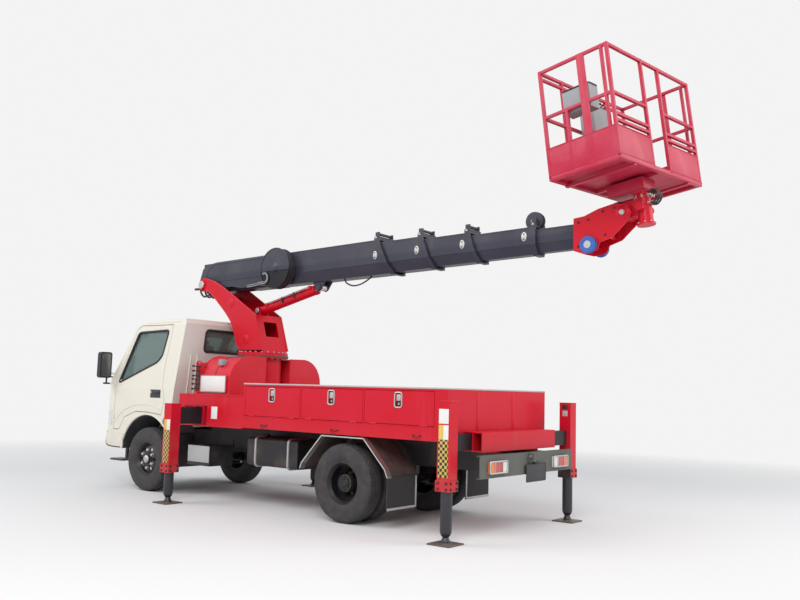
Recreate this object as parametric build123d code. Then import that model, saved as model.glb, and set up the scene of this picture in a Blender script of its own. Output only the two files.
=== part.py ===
from build123d import *
import math
import os

os.makedirs("parts", exist_ok=True)

# Cherry picker truck: a light cab-over lorry with a slewing telescopic boom, a work cage and four outriggers.
# Millimetres. X points forward to the cab, Y to the left, Z up from the ground.
# Stations along the truck are measured forward from the rear axle, and every piece is moved by
# REAR_AXLE_X when it is written, so that the origin is on the ground under the middle of the whole truck.
REAR_AXLE_X = -618

# General clearances
GAP = 5
PIN_GAP = 1
SEAT = 0.3

# Wheels
WHEELBASE = 3385
TYRE_RADIUS = 396
TYRE_WIDTH = 205
TYRE_SHOULDER = 34
RIM_RADIUS = 212
RIM_WALL = 10
RIM_DROP = 34
DISC_THICK = 12
DISH_RADIUS = 140
RIM_WIDTH = 165
RIM_FIT = 0.3
HUB_RADIUS = 88
HUB_BORE = 34
HAND_HOLES = 6
HAND_HOLE_RADIUS = 20
HAND_HOLE_CIRCLE = 132
FRONT_WHEEL_Y = 738
TWIN_Y = 677
TWIN_GAP = 38

# Steering
KINGPIN_Y = 600
KINGPIN_RADIUS = 22
YOKE_RADIUS = KINGPIN_RADIUS + 22
EYE_HALF = 38
STEER_ARM = 150
STEER_ARM_Y = KINGPIN_Y - 22
AXLE_BEAM = 80
TRACK_ROD_RADIUS = 16
TRACK_ROD_EYE = 38

# Chassis
RAIL_OUTER_Y = 400
RAIL_FLANGE = 65
RAIL_WALL = 8
RAIL_BOTTOM = 595
RAIL_TOP = 775
RAIL_REAR_X = -1585
RAIL_FRONT_X = 4130
CROSS_X = [-1250, -560, 560, 1700, 2700, 3980]
CROSS_SIZE = 90
CAB_MOUNT_X = [3150, 4030]

# Load body behind the turret, with three lockers along each side
BODY_HALF_WIDTH = 914
BODY_REAR_X = -1300
BODY_FRONT_X = 1507
BODY_BOTTOM = 878
BODY_TOP = 1372
BODY_WALL = 30
BODY_FLOOR = 40
HINGE_RADIUS = 9
HINGE_LENGTH = 90
HINGE_INSET = 130
HINGE_DROP = 2
LOCKER_DEPTH = 500
LOCKER_SILL = 1018
LOCKER_DOORS = 3
LOCKER_FRONT_X = 1480
LOCKER_DOOR_PITCH = 880
DOOR_POST = 28
LOCKER_DOOR_TOP = 1338
LATCH_WIDTH = 96
LATCH_HEIGHT = 150
LATCH_DEPTH = 14
LATCH_RIM = 12
LATCH_PROUD = 3
LATCH_Z = 1250

# Platform that carries the turret and the front outrigger beams
PLATFORM_FRONT_X = 2660
PLATFORM_TOP = 1237
PLATFORM_BOTTOM = 862
PLATFORM_WALL = 20

# Outriggers: beams slide side by side, each carries an upright column with a leg inside
BEAM_WALL = 10
COLUMN_SIZE = 130
COLUMN_WALL = 10
COLLAR_PROUD = 10
COLLAR_HEIGHT = 95
LEG_SIZE = 98
FRONT_LEG_TOP = 770
REAR_LEG_TOP = 850
FOOT_SIZE = 240
FOOT_PLATE = 14
FRONT_BEAM_X = 2300
FRONT_BEAM_PITCH = 164
FRONT_BEAM_WIDTH = 130
FRONT_BEAM_HEIGHT = 190
FRONT_BEAM_Z = 987
FRONT_COLUMN_Y = 1270
FRONT_COLUMN_TOP = 1114
FRONT_COLUMN_BOTTOM = 345
REAR_BEAM_X = -1385
REAR_BEAM_PITCH = 100
REAR_BEAM_WIDTH = 80
REAR_BEAM_HEIGHT = 150
REAR_BEAM_Z = 886
REAR_HOUSING_HALF = 697
REAR_COLUMN_Y = 1055
REAR_COLUMN_TOP = 1250
REAR_COLUMN_BOTTOM = 462
HOUSING_WALL = 10
BEAM_INNER_Y = 480

# Cab
CAB_HALF_WIDTH = 850
CAB_ROOF_HALF = 790
CAB_WALL = 45
CAB_BOTTOM = 510
CAB_NOSE_X = 4345
CAB_ROOF_Z = 2165
CAB_FLOOR_Z = 990
CAB_TUNNEL_Z = 800
CAB_CORNER_RADIUS = 170
ARCH_RADIUS = 525
ARCH_Z = 420
ARCH_INNER_Y = 385
GLASS_INSET = 10
GLASS_THICKNESS = 6
DOOR_GAP = 8

# Turret
SLEW_X = 2220
RING_Z = 1735
RING_RADIUS = 315
RING_HEIGHT = 42
COLUMN_RADIUS = 235
TURNTABLE_PLATE = 30
ARM_PLATE = 24
ARM_HALF_WIDTH = 222
PIVOT_X = 3220
PIVOT_Z = 2668
PIVOT_PIN_RADIUS = 38
PIVOT_BOSS_RADIUS = 85
CYLINDER_BASE_X = 2275
CYLINDER_BASE_Z = 2300
CYLINDER_EYE_X = 1225
CYLINDER_EYE_Z = 2548
BARREL_RADIUS = 58
BARREL_WALL = 13
BARREL_LENGTH = 980
PISTON_REST = 120
PISTON_LENGTH = 40
ROD_RADIUS = 36
TIP_RELIEF = 8
EYE_RADIUS = 52
EYE_PIN_RADIUS = 26
EYE_WIDTH = 90

# Boom: five nested box sections, each named by its place from the turret
BOOM_ELEVATION = 1.3
BOOM_WIDTH = 300
BOOM_BOTTOM = -102
BOOM_TOP = 285
BOOM_CANT_Y = 62
BOOM_CANT_Z = 120
BOOM_WALL = 6
STEP_BOTTOM = 11
STEP_TOP = 28
STEP_SIDE = 16
COLLAR_LENGTH = 55
COLLAR_OVER = 16
PULLEY_RADIUS = 92

# Work cage
CAGE_X = -2642
CAGE_Z = 3308
CAGE_PITCH = 7.3
CAGE_TURN = -7.6
CAGE_LENGTH = 739
CAGE_WIDTH = 1459
CAGE_HEIGHT = 1061
CAGE_TUBE = 42
CAGE_SHEET = 4
LEVEL_PIN_X = -2641
LEVEL_PIN_Z = 3019
ROTATOR_RADIUS = 68


def block(x0, x1, y0, y1, z0, z1):
    """A box between two corners."""
    middle = ((x0 + x1) / 2, (y0 + y1) / 2, (z0 + z1) / 2)
    return Pos(*middle) * Box(abs(x1 - x0), abs(y1 - y0), abs(z1 - z0))


def both_sides(shape):
    """A piece and its mirror image across the truck."""
    return [shape, mirror(shape, about=Plane.XZ)]


def plate_xz(points, y0, y1, radius=0):
    """An outline in side view, thick from y0 to y1, with its corners rounded."""
    face = make_face(Polyline(*points, close=True))
    if radius:
        face = fillet(face.vertices(), radius)
    side = Plane(origin=(0, max(y0, y1), 0), x_dir=(1, 0, 0), z_dir=(0, -1, 0))
    return extrude(side * face, amount=abs(y1 - y0))


def bar_yz(points, x0, x1, radius=0):
    """An outline seen along the truck, from x0 to x1."""
    face = make_face(Polyline(*points, close=True))
    if radius:
        face = fillet(face.vertices(), radius)
    end = Plane(origin=(min(x0, x1), 0, 0), x_dir=(0, 1, 0), z_dir=(1, 0, 0))
    return extrude(end * face, amount=abs(x1 - x0))


def rod_y(x, z, y0, y1, radius):
    """A round bar across the truck."""
    return Pos(x, (y0 + y1) / 2, z) * Rot(90, 0, 0) * Cylinder(radius, abs(y1 - y0))


def rod_x(y, z, x0, x1, radius):
    """A round bar along the truck."""
    return Pos((x0 + x1) / 2, y, z) * Rot(0, 90, 0) * Cylinder(radius, abs(x1 - x0))


def rod_z(x, y, z0, z1, radius):
    """An upright round bar."""
    return Pos(x, y, (z0 + z1) / 2) * Cylinder(radius, abs(z1 - z0))


def joined(pieces):
    """One shape from many."""
    return pieces[0].fuse(*pieces[1:]) if len(pieces) > 1 else pieces[0]


def save(name, *pieces):
    """Write a node: its pieces are moved to the truck's own origin."""
    solids = [Pos(REAR_AXLE_X, 0, 0) * solid for piece in pieces for solid in piece.solids()]
    shape = solids[0] if len(solids) == 1 else Compound(solids)
    shape.label = name
    export_step(shape, f"parts/{name}.step")
    print(name, len(solids))


# Chassis, axles and wheels

def chassis_frame():
    """Two channel rails with cross members, and the longitudinals that the body stands on."""
    outer, inner = RAIL_OUTER_Y, RAIL_OUTER_Y - RAIL_FLANGE
    rail = block(RAIL_REAR_X, RAIL_FRONT_X, inner, outer, RAIL_BOTTOM, RAIL_TOP)
    rail -= block(RAIL_REAR_X - 1, RAIL_FRONT_X + 1, inner - 1, outer - RAIL_WALL,
                  RAIL_BOTTOM + RAIL_WALL, RAIL_TOP - RAIL_WALL)
    bearer = block(BODY_REAR_X, PLATFORM_FRONT_X, inner, outer, RAIL_TOP, BODY_BOTTOM - SEAT)
    bearer -= block(BODY_FRONT_X, PLATFORM_FRONT_X + 1, inner - 1, outer + 1,
                    PLATFORM_BOTTOM - SEAT, BODY_BOTTOM)
    pieces = both_sides(rail + bearer)
    for x in CAB_MOUNT_X:
        pieces += both_sides(block(x - 40, x + 40, inner, outer, RAIL_TOP - 1, CAB_TUNNEL_Z - SEAT))
    middle = (RAIL_BOTTOM + RAIL_TOP) / 2
    for x in CROSS_X:
        pieces.append(block(x - CROSS_SIZE / 2, x + CROSS_SIZE / 2, -outer + RAIL_WALL, outer - RAIL_WALL,
                            middle - CROSS_SIZE / 2, middle + CROSS_SIZE / 2))
    save("chassis_frame", joined(pieces))


ENGINE_LENGTH = 780
ENGINE_WIDTH = 560
ENGINE_FRONT_X = 3760
ENGINE_BOTTOM = 520


def engine_block():
    """The engine, one plain block between the rails, carried by two mounts on each rail."""
    rear = ENGINE_FRONT_X - ENGINE_LENGTH
    half = ENGINE_WIDTH / 2
    body = block(rear, ENGINE_FRONT_X, -half, half, ENGINE_BOTTOM, CAB_TUNNEL_Z - 25)
    web = RAIL_OUTER_Y - RAIL_WALL - SEAT
    mounts = [block(x - 40, x + 40, -web, web, RAIL_BOTTOM + 30, RAIL_BOTTOM + 90)
              for x in (rear + 130, ENGINE_FRONT_X - 130)]
    save("engine_block", joined([body] + mounts))


SPRING_WIDTH = 60
SPRING_Y = 367
SPRING_SPAN = 560
SPRING_LEAF = 11


def leaf_spring(axle_x, leaves):
    """A leaf spring under one rail: stacked leaves, each shorter than the one above, hung by two shackles."""
    pieces = []
    seat = TYRE_RADIUS + AXLE_BEAM / 2
    for number in range(leaves):
        reach = SPRING_SPAN * (1 - 0.75 * number / leaves)
        low = seat + (leaves - 1 - number) * SPRING_LEAF
        pieces.append(block(axle_x - reach, axle_x + reach, SPRING_Y - SPRING_WIDTH / 2,
                            SPRING_Y + SPRING_WIDTH / 2, low, low + SPRING_LEAF))
    top = seat + leaves * SPRING_LEAF
    for end in (-1, 1):
        x = axle_x + end * (SPRING_SPAN - 35)
        pieces.append(block(x - 35, x + 35, SPRING_Y - SPRING_WIDTH / 2, SPRING_Y + SPRING_WIDTH / 2,
                            top - SPRING_LEAF, RAIL_BOTTOM - SEAT))
    return pieces


def front_axle():
    """The front beam with its kingpin eyes, and the springs that hang it from the rails."""
    half = AXLE_BEAM / 2
    beam = block(WHEELBASE - half, WHEELBASE + half, -KINGPIN_Y + 70, KINGPIN_Y - 70,
                 TYRE_RADIUS - half, TYRE_RADIUS + half)
    eyes = []
    for side in (-1, 1):
        eye = block(WHEELBASE - 36, WHEELBASE + 36, side * (KINGPIN_Y - 75), side * KINGPIN_Y,
                    TYRE_RADIUS - EYE_HALF, TYRE_RADIUS + EYE_HALF)
        eye += rod_z(WHEELBASE, side * KINGPIN_Y, TYRE_RADIUS - EYE_HALF, TYRE_RADIUS + EYE_HALF, YOKE_RADIUS)
        eye -= rod_z(WHEELBASE, side * KINGPIN_Y, 0, 2 * TYRE_RADIUS, KINGPIN_RADIUS + PIN_GAP)
        eyes.append(eye)
    springs = [piece for leaf in leaf_spring(WHEELBASE, 5) for piece in both_sides(leaf)]
    save("front_axle", joined([beam] + eyes + springs))


def knuckle(name, side):
    """A steering knuckle: kingpin, fork round the axle's eye, stub axle and steering arm."""
    y = side * KINGPIN_Y
    fork_out = side * (KINGPIN_Y + YOKE_RADIUS + GAP)
    wall = side * (KINGPIN_Y + 78)
    z = TYRE_RADIUS
    pin = rod_z(WHEELBASE, y, z - 75, z + 75, KINGPIN_RADIUS)
    upper = block(WHEELBASE - 32, WHEELBASE + 32, y - side * 30, wall, z + EYE_HALF + GAP, z + 75)
    lower = block(WHEELBASE - 32, WHEELBASE + 32, y - side * 30, wall, z - 75, z - EYE_HALF - GAP)
    web = block(WHEELBASE - 32, WHEELBASE + 32, fork_out, wall, z - 75, z + 75)
    stub = rod_y(WHEELBASE, z, side * (KINGPIN_Y + 70), side * (FRONT_WHEEL_Y + 64), HUB_BORE - SEAT)
    arm = block(WHEELBASE - STEER_ARM - 22, WHEELBASE, side * (STEER_ARM_Y - 20), side * (KINGPIN_Y + 20),
                z - 75, z - 57)
    save(name, joined([pin, upper, lower, web, stub, arm]))


def track_rod():
    """The bar that ties the two steering arms together, under their eyes."""
    z = TYRE_RADIUS - 75 - SEAT - TRACK_ROD_EYE / 2
    x = WHEELBASE - STEER_ARM
    bar = rod_y(x, z, -STEER_ARM_Y + 10, STEER_ARM_Y - 10, TRACK_ROD_RADIUS)
    ends = [rod_z(x, side * STEER_ARM_Y, z - TRACK_ROD_EYE / 2, z + TRACK_ROD_EYE / 2, TRACK_ROD_RADIUS + 6)
            for side in (-1, 1)]
    save("track_rod", bar + ends[0] + ends[1])


HOUSING_RADIUS = 62
DIFFERENTIAL_RADIUS = 170
SHAFT_RADIUS = 44


def rear_axle():
    """Axle tube with its differential, the propeller shaft from the engine, and the rear springs."""
    z = TYRE_RADIUS
    tube = rod_y(0, z, -TWIN_Y + 190, TWIN_Y - 190, HOUSING_RADIUS)
    spindle = rod_y(0, z, -TWIN_Y - 150, TWIN_Y + 150, HUB_BORE - SEAT)
    ball = Pos(0, 0, z) * Sphere(DIFFERENTIAL_RADIUS)
    nose = rod_x(0, z, 120, 290, 78)
    engine_rear = ENGINE_FRONT_X - ENGINE_LENGTH
    shaft_end_z = ENGINE_BOTTOM + 70
    rise = math.atan2(shaft_end_z - z, engine_rear - 280)
    length = math.hypot(shaft_end_z - z, engine_rear - 280)
    shaft = (Pos((engine_rear + 280) / 2, 0, (shaft_end_z + z) / 2)
             * Rot(0, 90 - math.degrees(rise), 0) * Cylinder(SHAFT_RADIUS, length - 2))
    shaft -= block(engine_rear - SEAT, engine_rear + 200, -100, 100, 0, 2 * shaft_end_z)
    springs = [piece for leaf in leaf_spring(0, 7) for piece in both_sides(leaf)]
    save("rear_axle", joined([tube, spindle, ball, nose, shaft] + springs))


def turned(profile, y):
    """A ring of revolution about a wheel's axle, its profile given as (radius, width) from the middle."""
    face = make_face(Polyline(*[(radius, width) for radius, width in profile], close=True))
    ring = revolve(Plane.XY * face, axis=Axis.Y)
    return Pos(0, y, TYRE_RADIUS) * ring


def tyre(y):
    """A tyre with square shoulders and a bulged wall; it fits over the rim's seat."""
    half = TYRE_WIDTH / 2
    seat = RIM_WIDTH / 2
    profile = [(RIM_RADIUS + RIM_FIT, -seat), (TYRE_RADIUS - 95, -half), (TYRE_RADIUS - TYRE_SHOULDER, -half + 8),
               (TYRE_RADIUS - 6, -half + 26), (TYRE_RADIUS, -half + 48), (TYRE_RADIUS, half - 48),
               (TYRE_RADIUS - 6, half - 26), (TYRE_RADIUS - TYRE_SHOULDER, half - 8), (TYRE_RADIUS - 95, half),
               (RIM_RADIUS + RIM_FIT, seat)]
    return turned(profile, y)


def rim(y, disc_y):
    """A steel wheel: a well barrel, and a dished disc with hand holes whose face is disc_y from the middle."""
    half = RIM_WIDTH / 2
    lip, well = RIM_RADIUS - RIM_WALL, RIM_RADIUS - RIM_DROP
    ring = turned([(RIM_RADIUS, -half), (RIM_RADIUS, half), (lip, half), (well, half - RIM_DROP),
                   (well, -half + RIM_DROP), (lip, -half)], y)
    hand = math.copysign(1, disc_y)
    reach = abs(disc_y)
    root = min(reach, half - RIM_DROP - 12)
    dish = turned([(well + 4, hand * (root - DISC_THICK)), (well + 4, hand * root), (DISH_RADIUS, hand * reach),
                   (30, hand * reach), (30, hand * (reach - DISC_THICK)),
                   (DISH_RADIUS - 8, hand * (reach - DISC_THICK))], y)
    for number in range(HAND_HOLES):
        angle = 2 * math.pi * number / HAND_HOLES
        dish -= rod_y(HAND_HOLE_CIRCLE * math.cos(angle), TYRE_RADIUS + HAND_HOLE_CIRCLE * math.sin(angle),
                      y - 2 * RIM_WIDTH, y + 2 * RIM_WIDTH, HAND_HOLE_RADIUS)
    return ring + dish


def wheel(end, side, x, rows, hub_from, hub_to):
    """One wheel body at one corner: its tyres, and its rims on one hub and drum."""
    tyres = []
    steel = []
    for y, disc_y in rows:
        tyres.append(Pos(x, 0, 0) * tyre(side * y))
        steel.append(Pos(x, 0, 0) * rim(side * y, side * disc_y))
    hub = rod_y(x, TYRE_RADIUS, side * hub_from, side * hub_to, HUB_RADIUS)
    solid = joined(steel + [hub])
    solid -= rod_y(x, TYRE_RADIUS, -2 * TWIN_Y, 2 * TWIN_Y, HUB_BORE)
    cap = rod_y(x, TYRE_RADIUS, side * (hub_to - 6), side * (hub_to + 12), HUB_RADIUS - 30)
    word = "left" if side > 0 else "right"
    plural = "s" if len(rows) > 1 else ""
    save(f"{end}_tyre{plural}_{word}", *tyres)
    save(f"{end}_rim{plural}_{word}", solid + cap)


def wheels():
    """The four corners; the rear ones carry twin wheels whose discs meet in the middle."""
    pitch = (TYRE_WIDTH + TWIN_GAP) / 2
    for side in (1, -1):
        wheel("front", side, WHEELBASE, [(FRONT_WHEEL_Y, 62)], FRONT_WHEEL_Y - 36, FRONT_WHEEL_Y + 74)
        wheel("rear", side, 0, [(TWIN_Y - pitch, pitch), (TWIN_Y + pitch, -pitch)],
              TWIN_Y - 160, TWIN_Y + 165)


# Cab

def grown(face, amount):
    """An outline made larger, or smaller where the amount is negative."""
    return offset(face, amount=amount, kind=Kind.INTERSECTION) if amount else face


CAB_SIDE = [(2885, CAB_BOTTOM), (4180, CAB_BOTTOM), (4310, 585), (CAB_NOSE_X, 800), (4328, 1130),
            (4272, 1318), (3770, 2068), (3600, 2148), (2830, CAB_ROOF_Z), (2762, 2105), (2885, 1100)]
CAB_REAR_CUT = [(2600, 1100), (2885, 1100), (3062, 890), (3062, 300), (2600, 300)]
CAB_FRONT_CUT_X = 3868


def cab_form(inset):
    """The cab's outer form, drawn in by an inset: side view, plan and front view crossed with each other."""
    side = grown(make_face(Polyline(*CAB_SIDE, close=True)), -inset)
    width = CAB_HALF_WIDTH
    side_plane = Plane(origin=(0, width + 50, 0), x_dir=(1, 0, 0), z_dir=(0, -1, 0))
    side_solid = extrude(side_plane * side, amount=2 * width + 100)
    plan = make_face(Polyline((2700, -width), (CAB_NOSE_X + 5, -width), (CAB_NOSE_X + 5, width), (2700, width),
                              close=True))
    front_corners = plan.vertices().sort_by(Axis.X)[2:]
    plan = grown(fillet(front_corners, CAB_CORNER_RADIUS), -inset)
    plan_solid = extrude(Pos(0, 0, 300) * plan, amount=2100)
    roof = CAB_ROOF_HALF
    front = make_face(Polyline((-width, 350), (width, 350), (width, 1280), (roof, CAB_ROOF_Z + 10),
                               (-roof, CAB_ROOF_Z + 10), (-width, 1280), close=True))
    top_corners = front.vertices().sort_by(Axis.Y)[4:]
    front = grown(fillet(top_corners, 110), -inset)
    end = Plane(origin=(2600, 0, 0), x_dir=(0, 1, 0), z_dir=(1, 0, 0))
    front_solid = extrude(end * front, amount=2000)
    return side_solid & plan_solid & front_solid


def arch_cut(radius):
    """What the cab leaves open below: both wheel arches, the space over the rails and the rear corner."""
    cuts = [rod_y(WHEELBASE, ARCH_Z, side * ARCH_INNER_Y, side * (CAB_HALF_WIDTH + 50), radius)
            for side in (-1, 1)]
    half = RAIL_OUTER_Y + 25
    cuts.append(block(2600, CAB_NOSE_X - 120, -half, half, 300, CAB_TUNNEL_Z))
    cuts.append(plate_xz(CAB_REAR_CUT, -CAB_HALF_WIDTH - 50, CAB_HALF_WIDTH + 50))
    cuts.append(block(3062 - 50, CAB_FRONT_CUT_X, -CAB_HALF_WIDTH - 50, CAB_HALF_WIDTH + 50, 300, ARCH_Z + 180))
    return joined(cuts)


DOOR_REAR = [(3012, 2082), (3104, 1520), (3104, 1330), (3056, 1130), (3100, 960)]
DOOR_FRONT = [(3880, 905), (3985, 745), (4105, 742), (4105, 1300), (3756, 2035), (3670, 2082)]
DOOR_WINDOW = [(4052, 1338), (3716, 1998), (3085, 2018), (3172, 1690), (3262, 1612)]
DOOR_HINGE_X = 4109
DOOR_HINGE_Y = 858
DOOR_HINGE_Z = (830, 1210)
DOOR_HINGE_RADIUS = 8
DOOR_HINGE_HEIGHT = 44
DOOR_HINGE_LEAF = 38


def door_prism(side, extra):
    """The doorway's outline, carried through the side of the cab."""
    outline = DOOR_REAR + [(3130, 965), (3385, 985), (3640, 985)] + DOOR_FRONT
    face = grown(make_face(Polyline(*outline, close=True)), extra)
    plane = Plane(origin=(0, CAB_HALF_WIDTH + 60, 0), x_dir=(1, 0, 0), z_dir=(0, -1, 0))
    solid = extrude(plane * face, amount=CAB_HALF_WIDTH - 560)
    return solid if side > 0 else mirror(solid, about=Plane.XZ)


def door_hinges(side, on_door):
    """The knuckles of both hinges: the door's one stands under the pillar's one, each with its leaf."""
    pieces = []
    for z in DOOR_HINGE_Z:
        low = z if on_door else z + DOOR_HINGE_HEIGHT + SEAT
        leaf_x = DOOR_HINGE_X + (-DOOR_HINGE_LEAF if on_door else DOOR_HINGE_LEAF)
        pieces.append(rod_z(DOOR_HINGE_X, side * DOOR_HINGE_Y, low, low + DOOR_HINGE_HEIGHT, DOOR_HINGE_RADIUS))
        pieces.append(block(DOOR_HINGE_X, leaf_x, side * (CAB_HALF_WIDTH - 2), side * (DOOR_HINGE_Y - 1), low,
                            low + DOOR_HINGE_HEIGHT))
    return pieces


def window_prism(side):
    """The side window's outline, carried through the door."""
    solid = plate_xz(DOOR_WINDOW, 560, CAB_HALF_WIDTH + 60, 34)
    return solid if side > 0 else mirror(solid, about=Plane.XZ)


WINDSCREEN = [(-735, 1345), (735, 1345), (672, 2035), (-672, 2035)]
REAR_WINDOW_HALF = 470
REAR_WINDOW_BOTTOM = 1762
REAR_WINDOW_TOP = 2035


def cab():
    """Shell, doors, glass and the trim at the front."""
    outer = cab_form(0)
    cavity = cab_form(CAB_WALL) & block(2600, 4400, -900, 900, CAB_FLOOR_Z, 2300)
    footwell = cab_form(CAB_WALL) & block(CAB_FRONT_CUT_X + 60, 4400, -900, 900, CAB_TUNNEL_Z + 20, 2300)
    shell = outer - arch_cut(ARCH_RADIUS) - cavity - footwell
    rear_outline = [(-REAR_WINDOW_HALF, REAR_WINDOW_BOTTOM), (REAR_WINDOW_HALF, REAR_WINDOW_BOTTOM),
                    (REAR_WINDOW_HALF, REAR_WINDOW_TOP), (-REAR_WINDOW_HALF, REAR_WINDOW_TOP)]
    screen = bar_yz(WINDSCREEN, 3500, 4400, 60)
    rear_window = bar_yz(rear_outline, 2700, 3000, 45)
    pane = cab_form(GLASS_INSET) - cab_form(GLASS_INSET + GLASS_THICKNESS)
    pillar_hinges = []
    for name, side in (("left", 1), ("right", -1)):
        door = (outer - cab_form(CAB_WALL)) & door_prism(side, 0)
        door -= arch_cut(ARCH_RADIUS)
        save(f"cab_door_{name}", joined([door - window_prism(side)] + door_hinges(side, True)))
        shell -= door_prism(side, DOOR_GAP)
        pillar_hinges += door_hinges(side, False)
    save("cab_shell", joined([shell - screen - rear_window] + pillar_hinges))
    glass = [(pane & screen).solids()[0], (pane & rear_window).solids()[0]]
    save("cab_glass", *glass)


BUMPER_PROUD = 14
LAMP_PROUD = 5
HEADLAMP_TOP = 985
LAMP_REAR_X = 4152
HEADLAMP_BOTTOM = 795


def front_trim():
    """Bumper band round the foot of the nose, the grille and the two side steps."""
    outer = cab_form(0)
    band = cab_form(-BUMPER_PROUD) - outer
    bumper = band & block(CAB_FRONT_CUT_X, 4500, -950, 950, CAB_BOTTOM, 690)
    bumper = bumper.solids().sort_by(SortBy.VOLUME)[-1]
    grille = (cab_form(-LAMP_PROUD) - outer) & block(4200, 4500, -430, 430, 1020, 1120)
    steps = []
    for step in both_sides(block(3950, 4210, 640, 800, 330, 352)):
        steps.append(step)
    hangers = both_sides(block(4000, 4040, 660, 690, 340, CAB_BOTTOM - SEAT))
    save("front_trim", bumper, grille, *[a + b for a, b in zip(steps, hangers)])


def lamps():
    """Headlamps that wrap the nose, and the two rear lamp clusters on the bumper."""
    skin = cab_form(-LAMP_PROUD) - cab_form(0)
    heads = [skin & block(LAMP_REAR_X, 4500, side * 500, side * 900, HEADLAMP_BOTTOM, HEADLAMP_TOP) for side in (1, -1)]
    face = REAR_BUMPER_X - LAMP_DEPTH
    tails = [block(face, REAR_BUMPER_X - SEAT, side * LAMP_INNER_Y, side * (LAMP_INNER_Y + LAMP_LENGTH),
                   LAMP_Z, LAMP_Z + LAMP_HEIGHT) for side in (1, -1)]
    save("lamps", *heads, *tails)


MIRROR_X = 4190
MIRROR_Y = 985
MIRROR_TOP = 1740
MIRROR_BOTTOM = 1400


def mirrors():
    """Door mirrors on two-leg arms that stand out from the front corners."""
    head = block(MIRROR_X - 35, MIRROR_X + 35, MIRROR_Y - 85, MIRROR_Y + 85, MIRROR_BOTTOM, MIRROR_TOP)
    head = fillet(head.edges().filter_by(Axis.X), 34)
    arms = []
    for z in (MIRROR_BOTTOM + 60, MIRROR_BOTTOM - 70):
        arms.append(rod_y(MIRROR_X, z, CAB_HALF_WIDTH - 60, MIRROR_Y, 11))
    post = rod_z(MIRROR_X, MIRROR_Y - 40, MIRROR_BOTTOM - 80, MIRROR_BOTTOM + 30, 11)
    left = joined([head, post] + arms) - cab_form(-SEAT)
    save("mirrors", *both_sides(left.solids().sort_by(SortBy.VOLUME)[-1]))


SEAT_X = 3250
SEAT_Y = 430
SEAT_WIDTH = 470
SEAT_DEPTH = 470
CUSHION = 130
BACK_TOP = 1870


def cab_interior():
    """Two seats with their backs, the dashboard, and the steering wheel on its column."""
    pieces = []
    for side in (1, -1):
        y = side * SEAT_Y
        half = SEAT_WIDTH / 2
        base = block(SEAT_X - SEAT_DEPTH / 2, SEAT_X + SEAT_DEPTH / 2, y - half, y + half,
                     CAB_FLOOR_Z + SEAT, CAB_FLOOR_Z + 190)
        cushion = block(SEAT_X - SEAT_DEPTH / 2 + 40, SEAT_X + SEAT_DEPTH / 2 + 20, y - half, y + half,
                        CAB_FLOOR_Z + 190 + SEAT, CAB_FLOOR_Z + 190 + CUSHION)
        foot = SEAT_X - SEAT_DEPTH / 2 + 40 - SEAT
        back = plate_xz([(foot, CAB_FLOOR_Z + 190 + SEAT), (foot - 60, BACK_TOP), (foot - 165, BACK_TOP),
                         (foot - 110, CAB_FLOOR_Z + 190 + SEAT)], y - half, y + half)
        pieces += [base, cushion, back]
    dash = plate_xz([(4020, 1010), (4340, 1010), (4340, 1270), (3960, 1310), (3900, 1220)],
                    -CAB_HALF_WIDTH + 110, CAB_HALF_WIDTH - 110)
    dash = dash & cab_form(CAB_WALL + SEAT)
    tilt = Pos(3850, SEAT_Y, 1395) * Rot(0, -58, 0)
    wheel_ring = tilt * Torus(190, 14)
    spoke = tilt * Box(30, 380, 14) + tilt * Box(380, 30, 14)
    column = tilt * Pos(0, 0, -100) * Cylinder(26, 200)
    save("cab_interior", *pieces, joined([dash, wheel_ring, spoke, column]))


# Load body, lockers and the platform under the turret

def locker_door_box(number, extra):
    """The outline of one locker door, counted from the front, grown by an extra at its edges."""
    front = LOCKER_FRONT_X - number * LOCKER_DOOR_PITCH - DOOR_POST / 2
    rear = LOCKER_FRONT_X - (number + 1) * LOCKER_DOOR_PITCH + DOOR_POST / 2
    return block(rear - extra, front + extra, BODY_HALF_WIDTH - BODY_WALL - extra, BODY_HALF_WIDTH + extra,
                 LOCKER_SILL - extra, LOCKER_DOOR_TOP + extra)


def locker_hinges(number, radius):
    """The two hinge barrels at the foot of one locker door, on its swing axis."""
    middle = LOCKER_FRONT_X - (number + 0.5) * LOCKER_DOOR_PITCH
    reach = LOCKER_DOOR_PITCH / 2 - HINGE_INSET
    extra = radius - HINGE_RADIUS
    return [rod_x(BODY_HALF_WIDTH, LOCKER_SILL - HINGE_DROP, x - HINGE_LENGTH / 2 - extra,
                  x + HINGE_LENGTH / 2 + extra, radius) for x in (middle - reach, middle + reach)]


def bed_body():
    """Two side lockers, the deck between them and the tail panel, as one welded body."""
    inner_y = BODY_HALF_WIDTH - LOCKER_DEPTH
    box = block(BODY_REAR_X, BODY_FRONT_X, inner_y, BODY_HALF_WIDTH, BODY_BOTTOM, BODY_TOP)
    box -= block(BODY_REAR_X + BODY_WALL, BODY_FRONT_X - BODY_WALL, inner_y + BODY_WALL,
                 BODY_HALF_WIDTH - BODY_WALL, BODY_BOTTOM + BODY_FLOOR, BODY_TOP - BODY_WALL)
    for number in range(LOCKER_DOORS):
        box -= locker_door_box(number, GAP)
        for barrel in locker_hinges(number, HINGE_RADIUS + SEAT):
            box -= barrel
    floor = block(BODY_REAR_X, BODY_FRONT_X, -inner_y, inner_y, BODY_BOTTOM, BODY_BOTTOM + BODY_FLOOR)
    tail = block(BODY_REAR_X, BODY_REAR_X + BODY_WALL, -inner_y, inner_y, BODY_BOTTOM, BODY_TOP)
    save("bed_body", joined(both_sides(box) + [floor, tail]))


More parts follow.
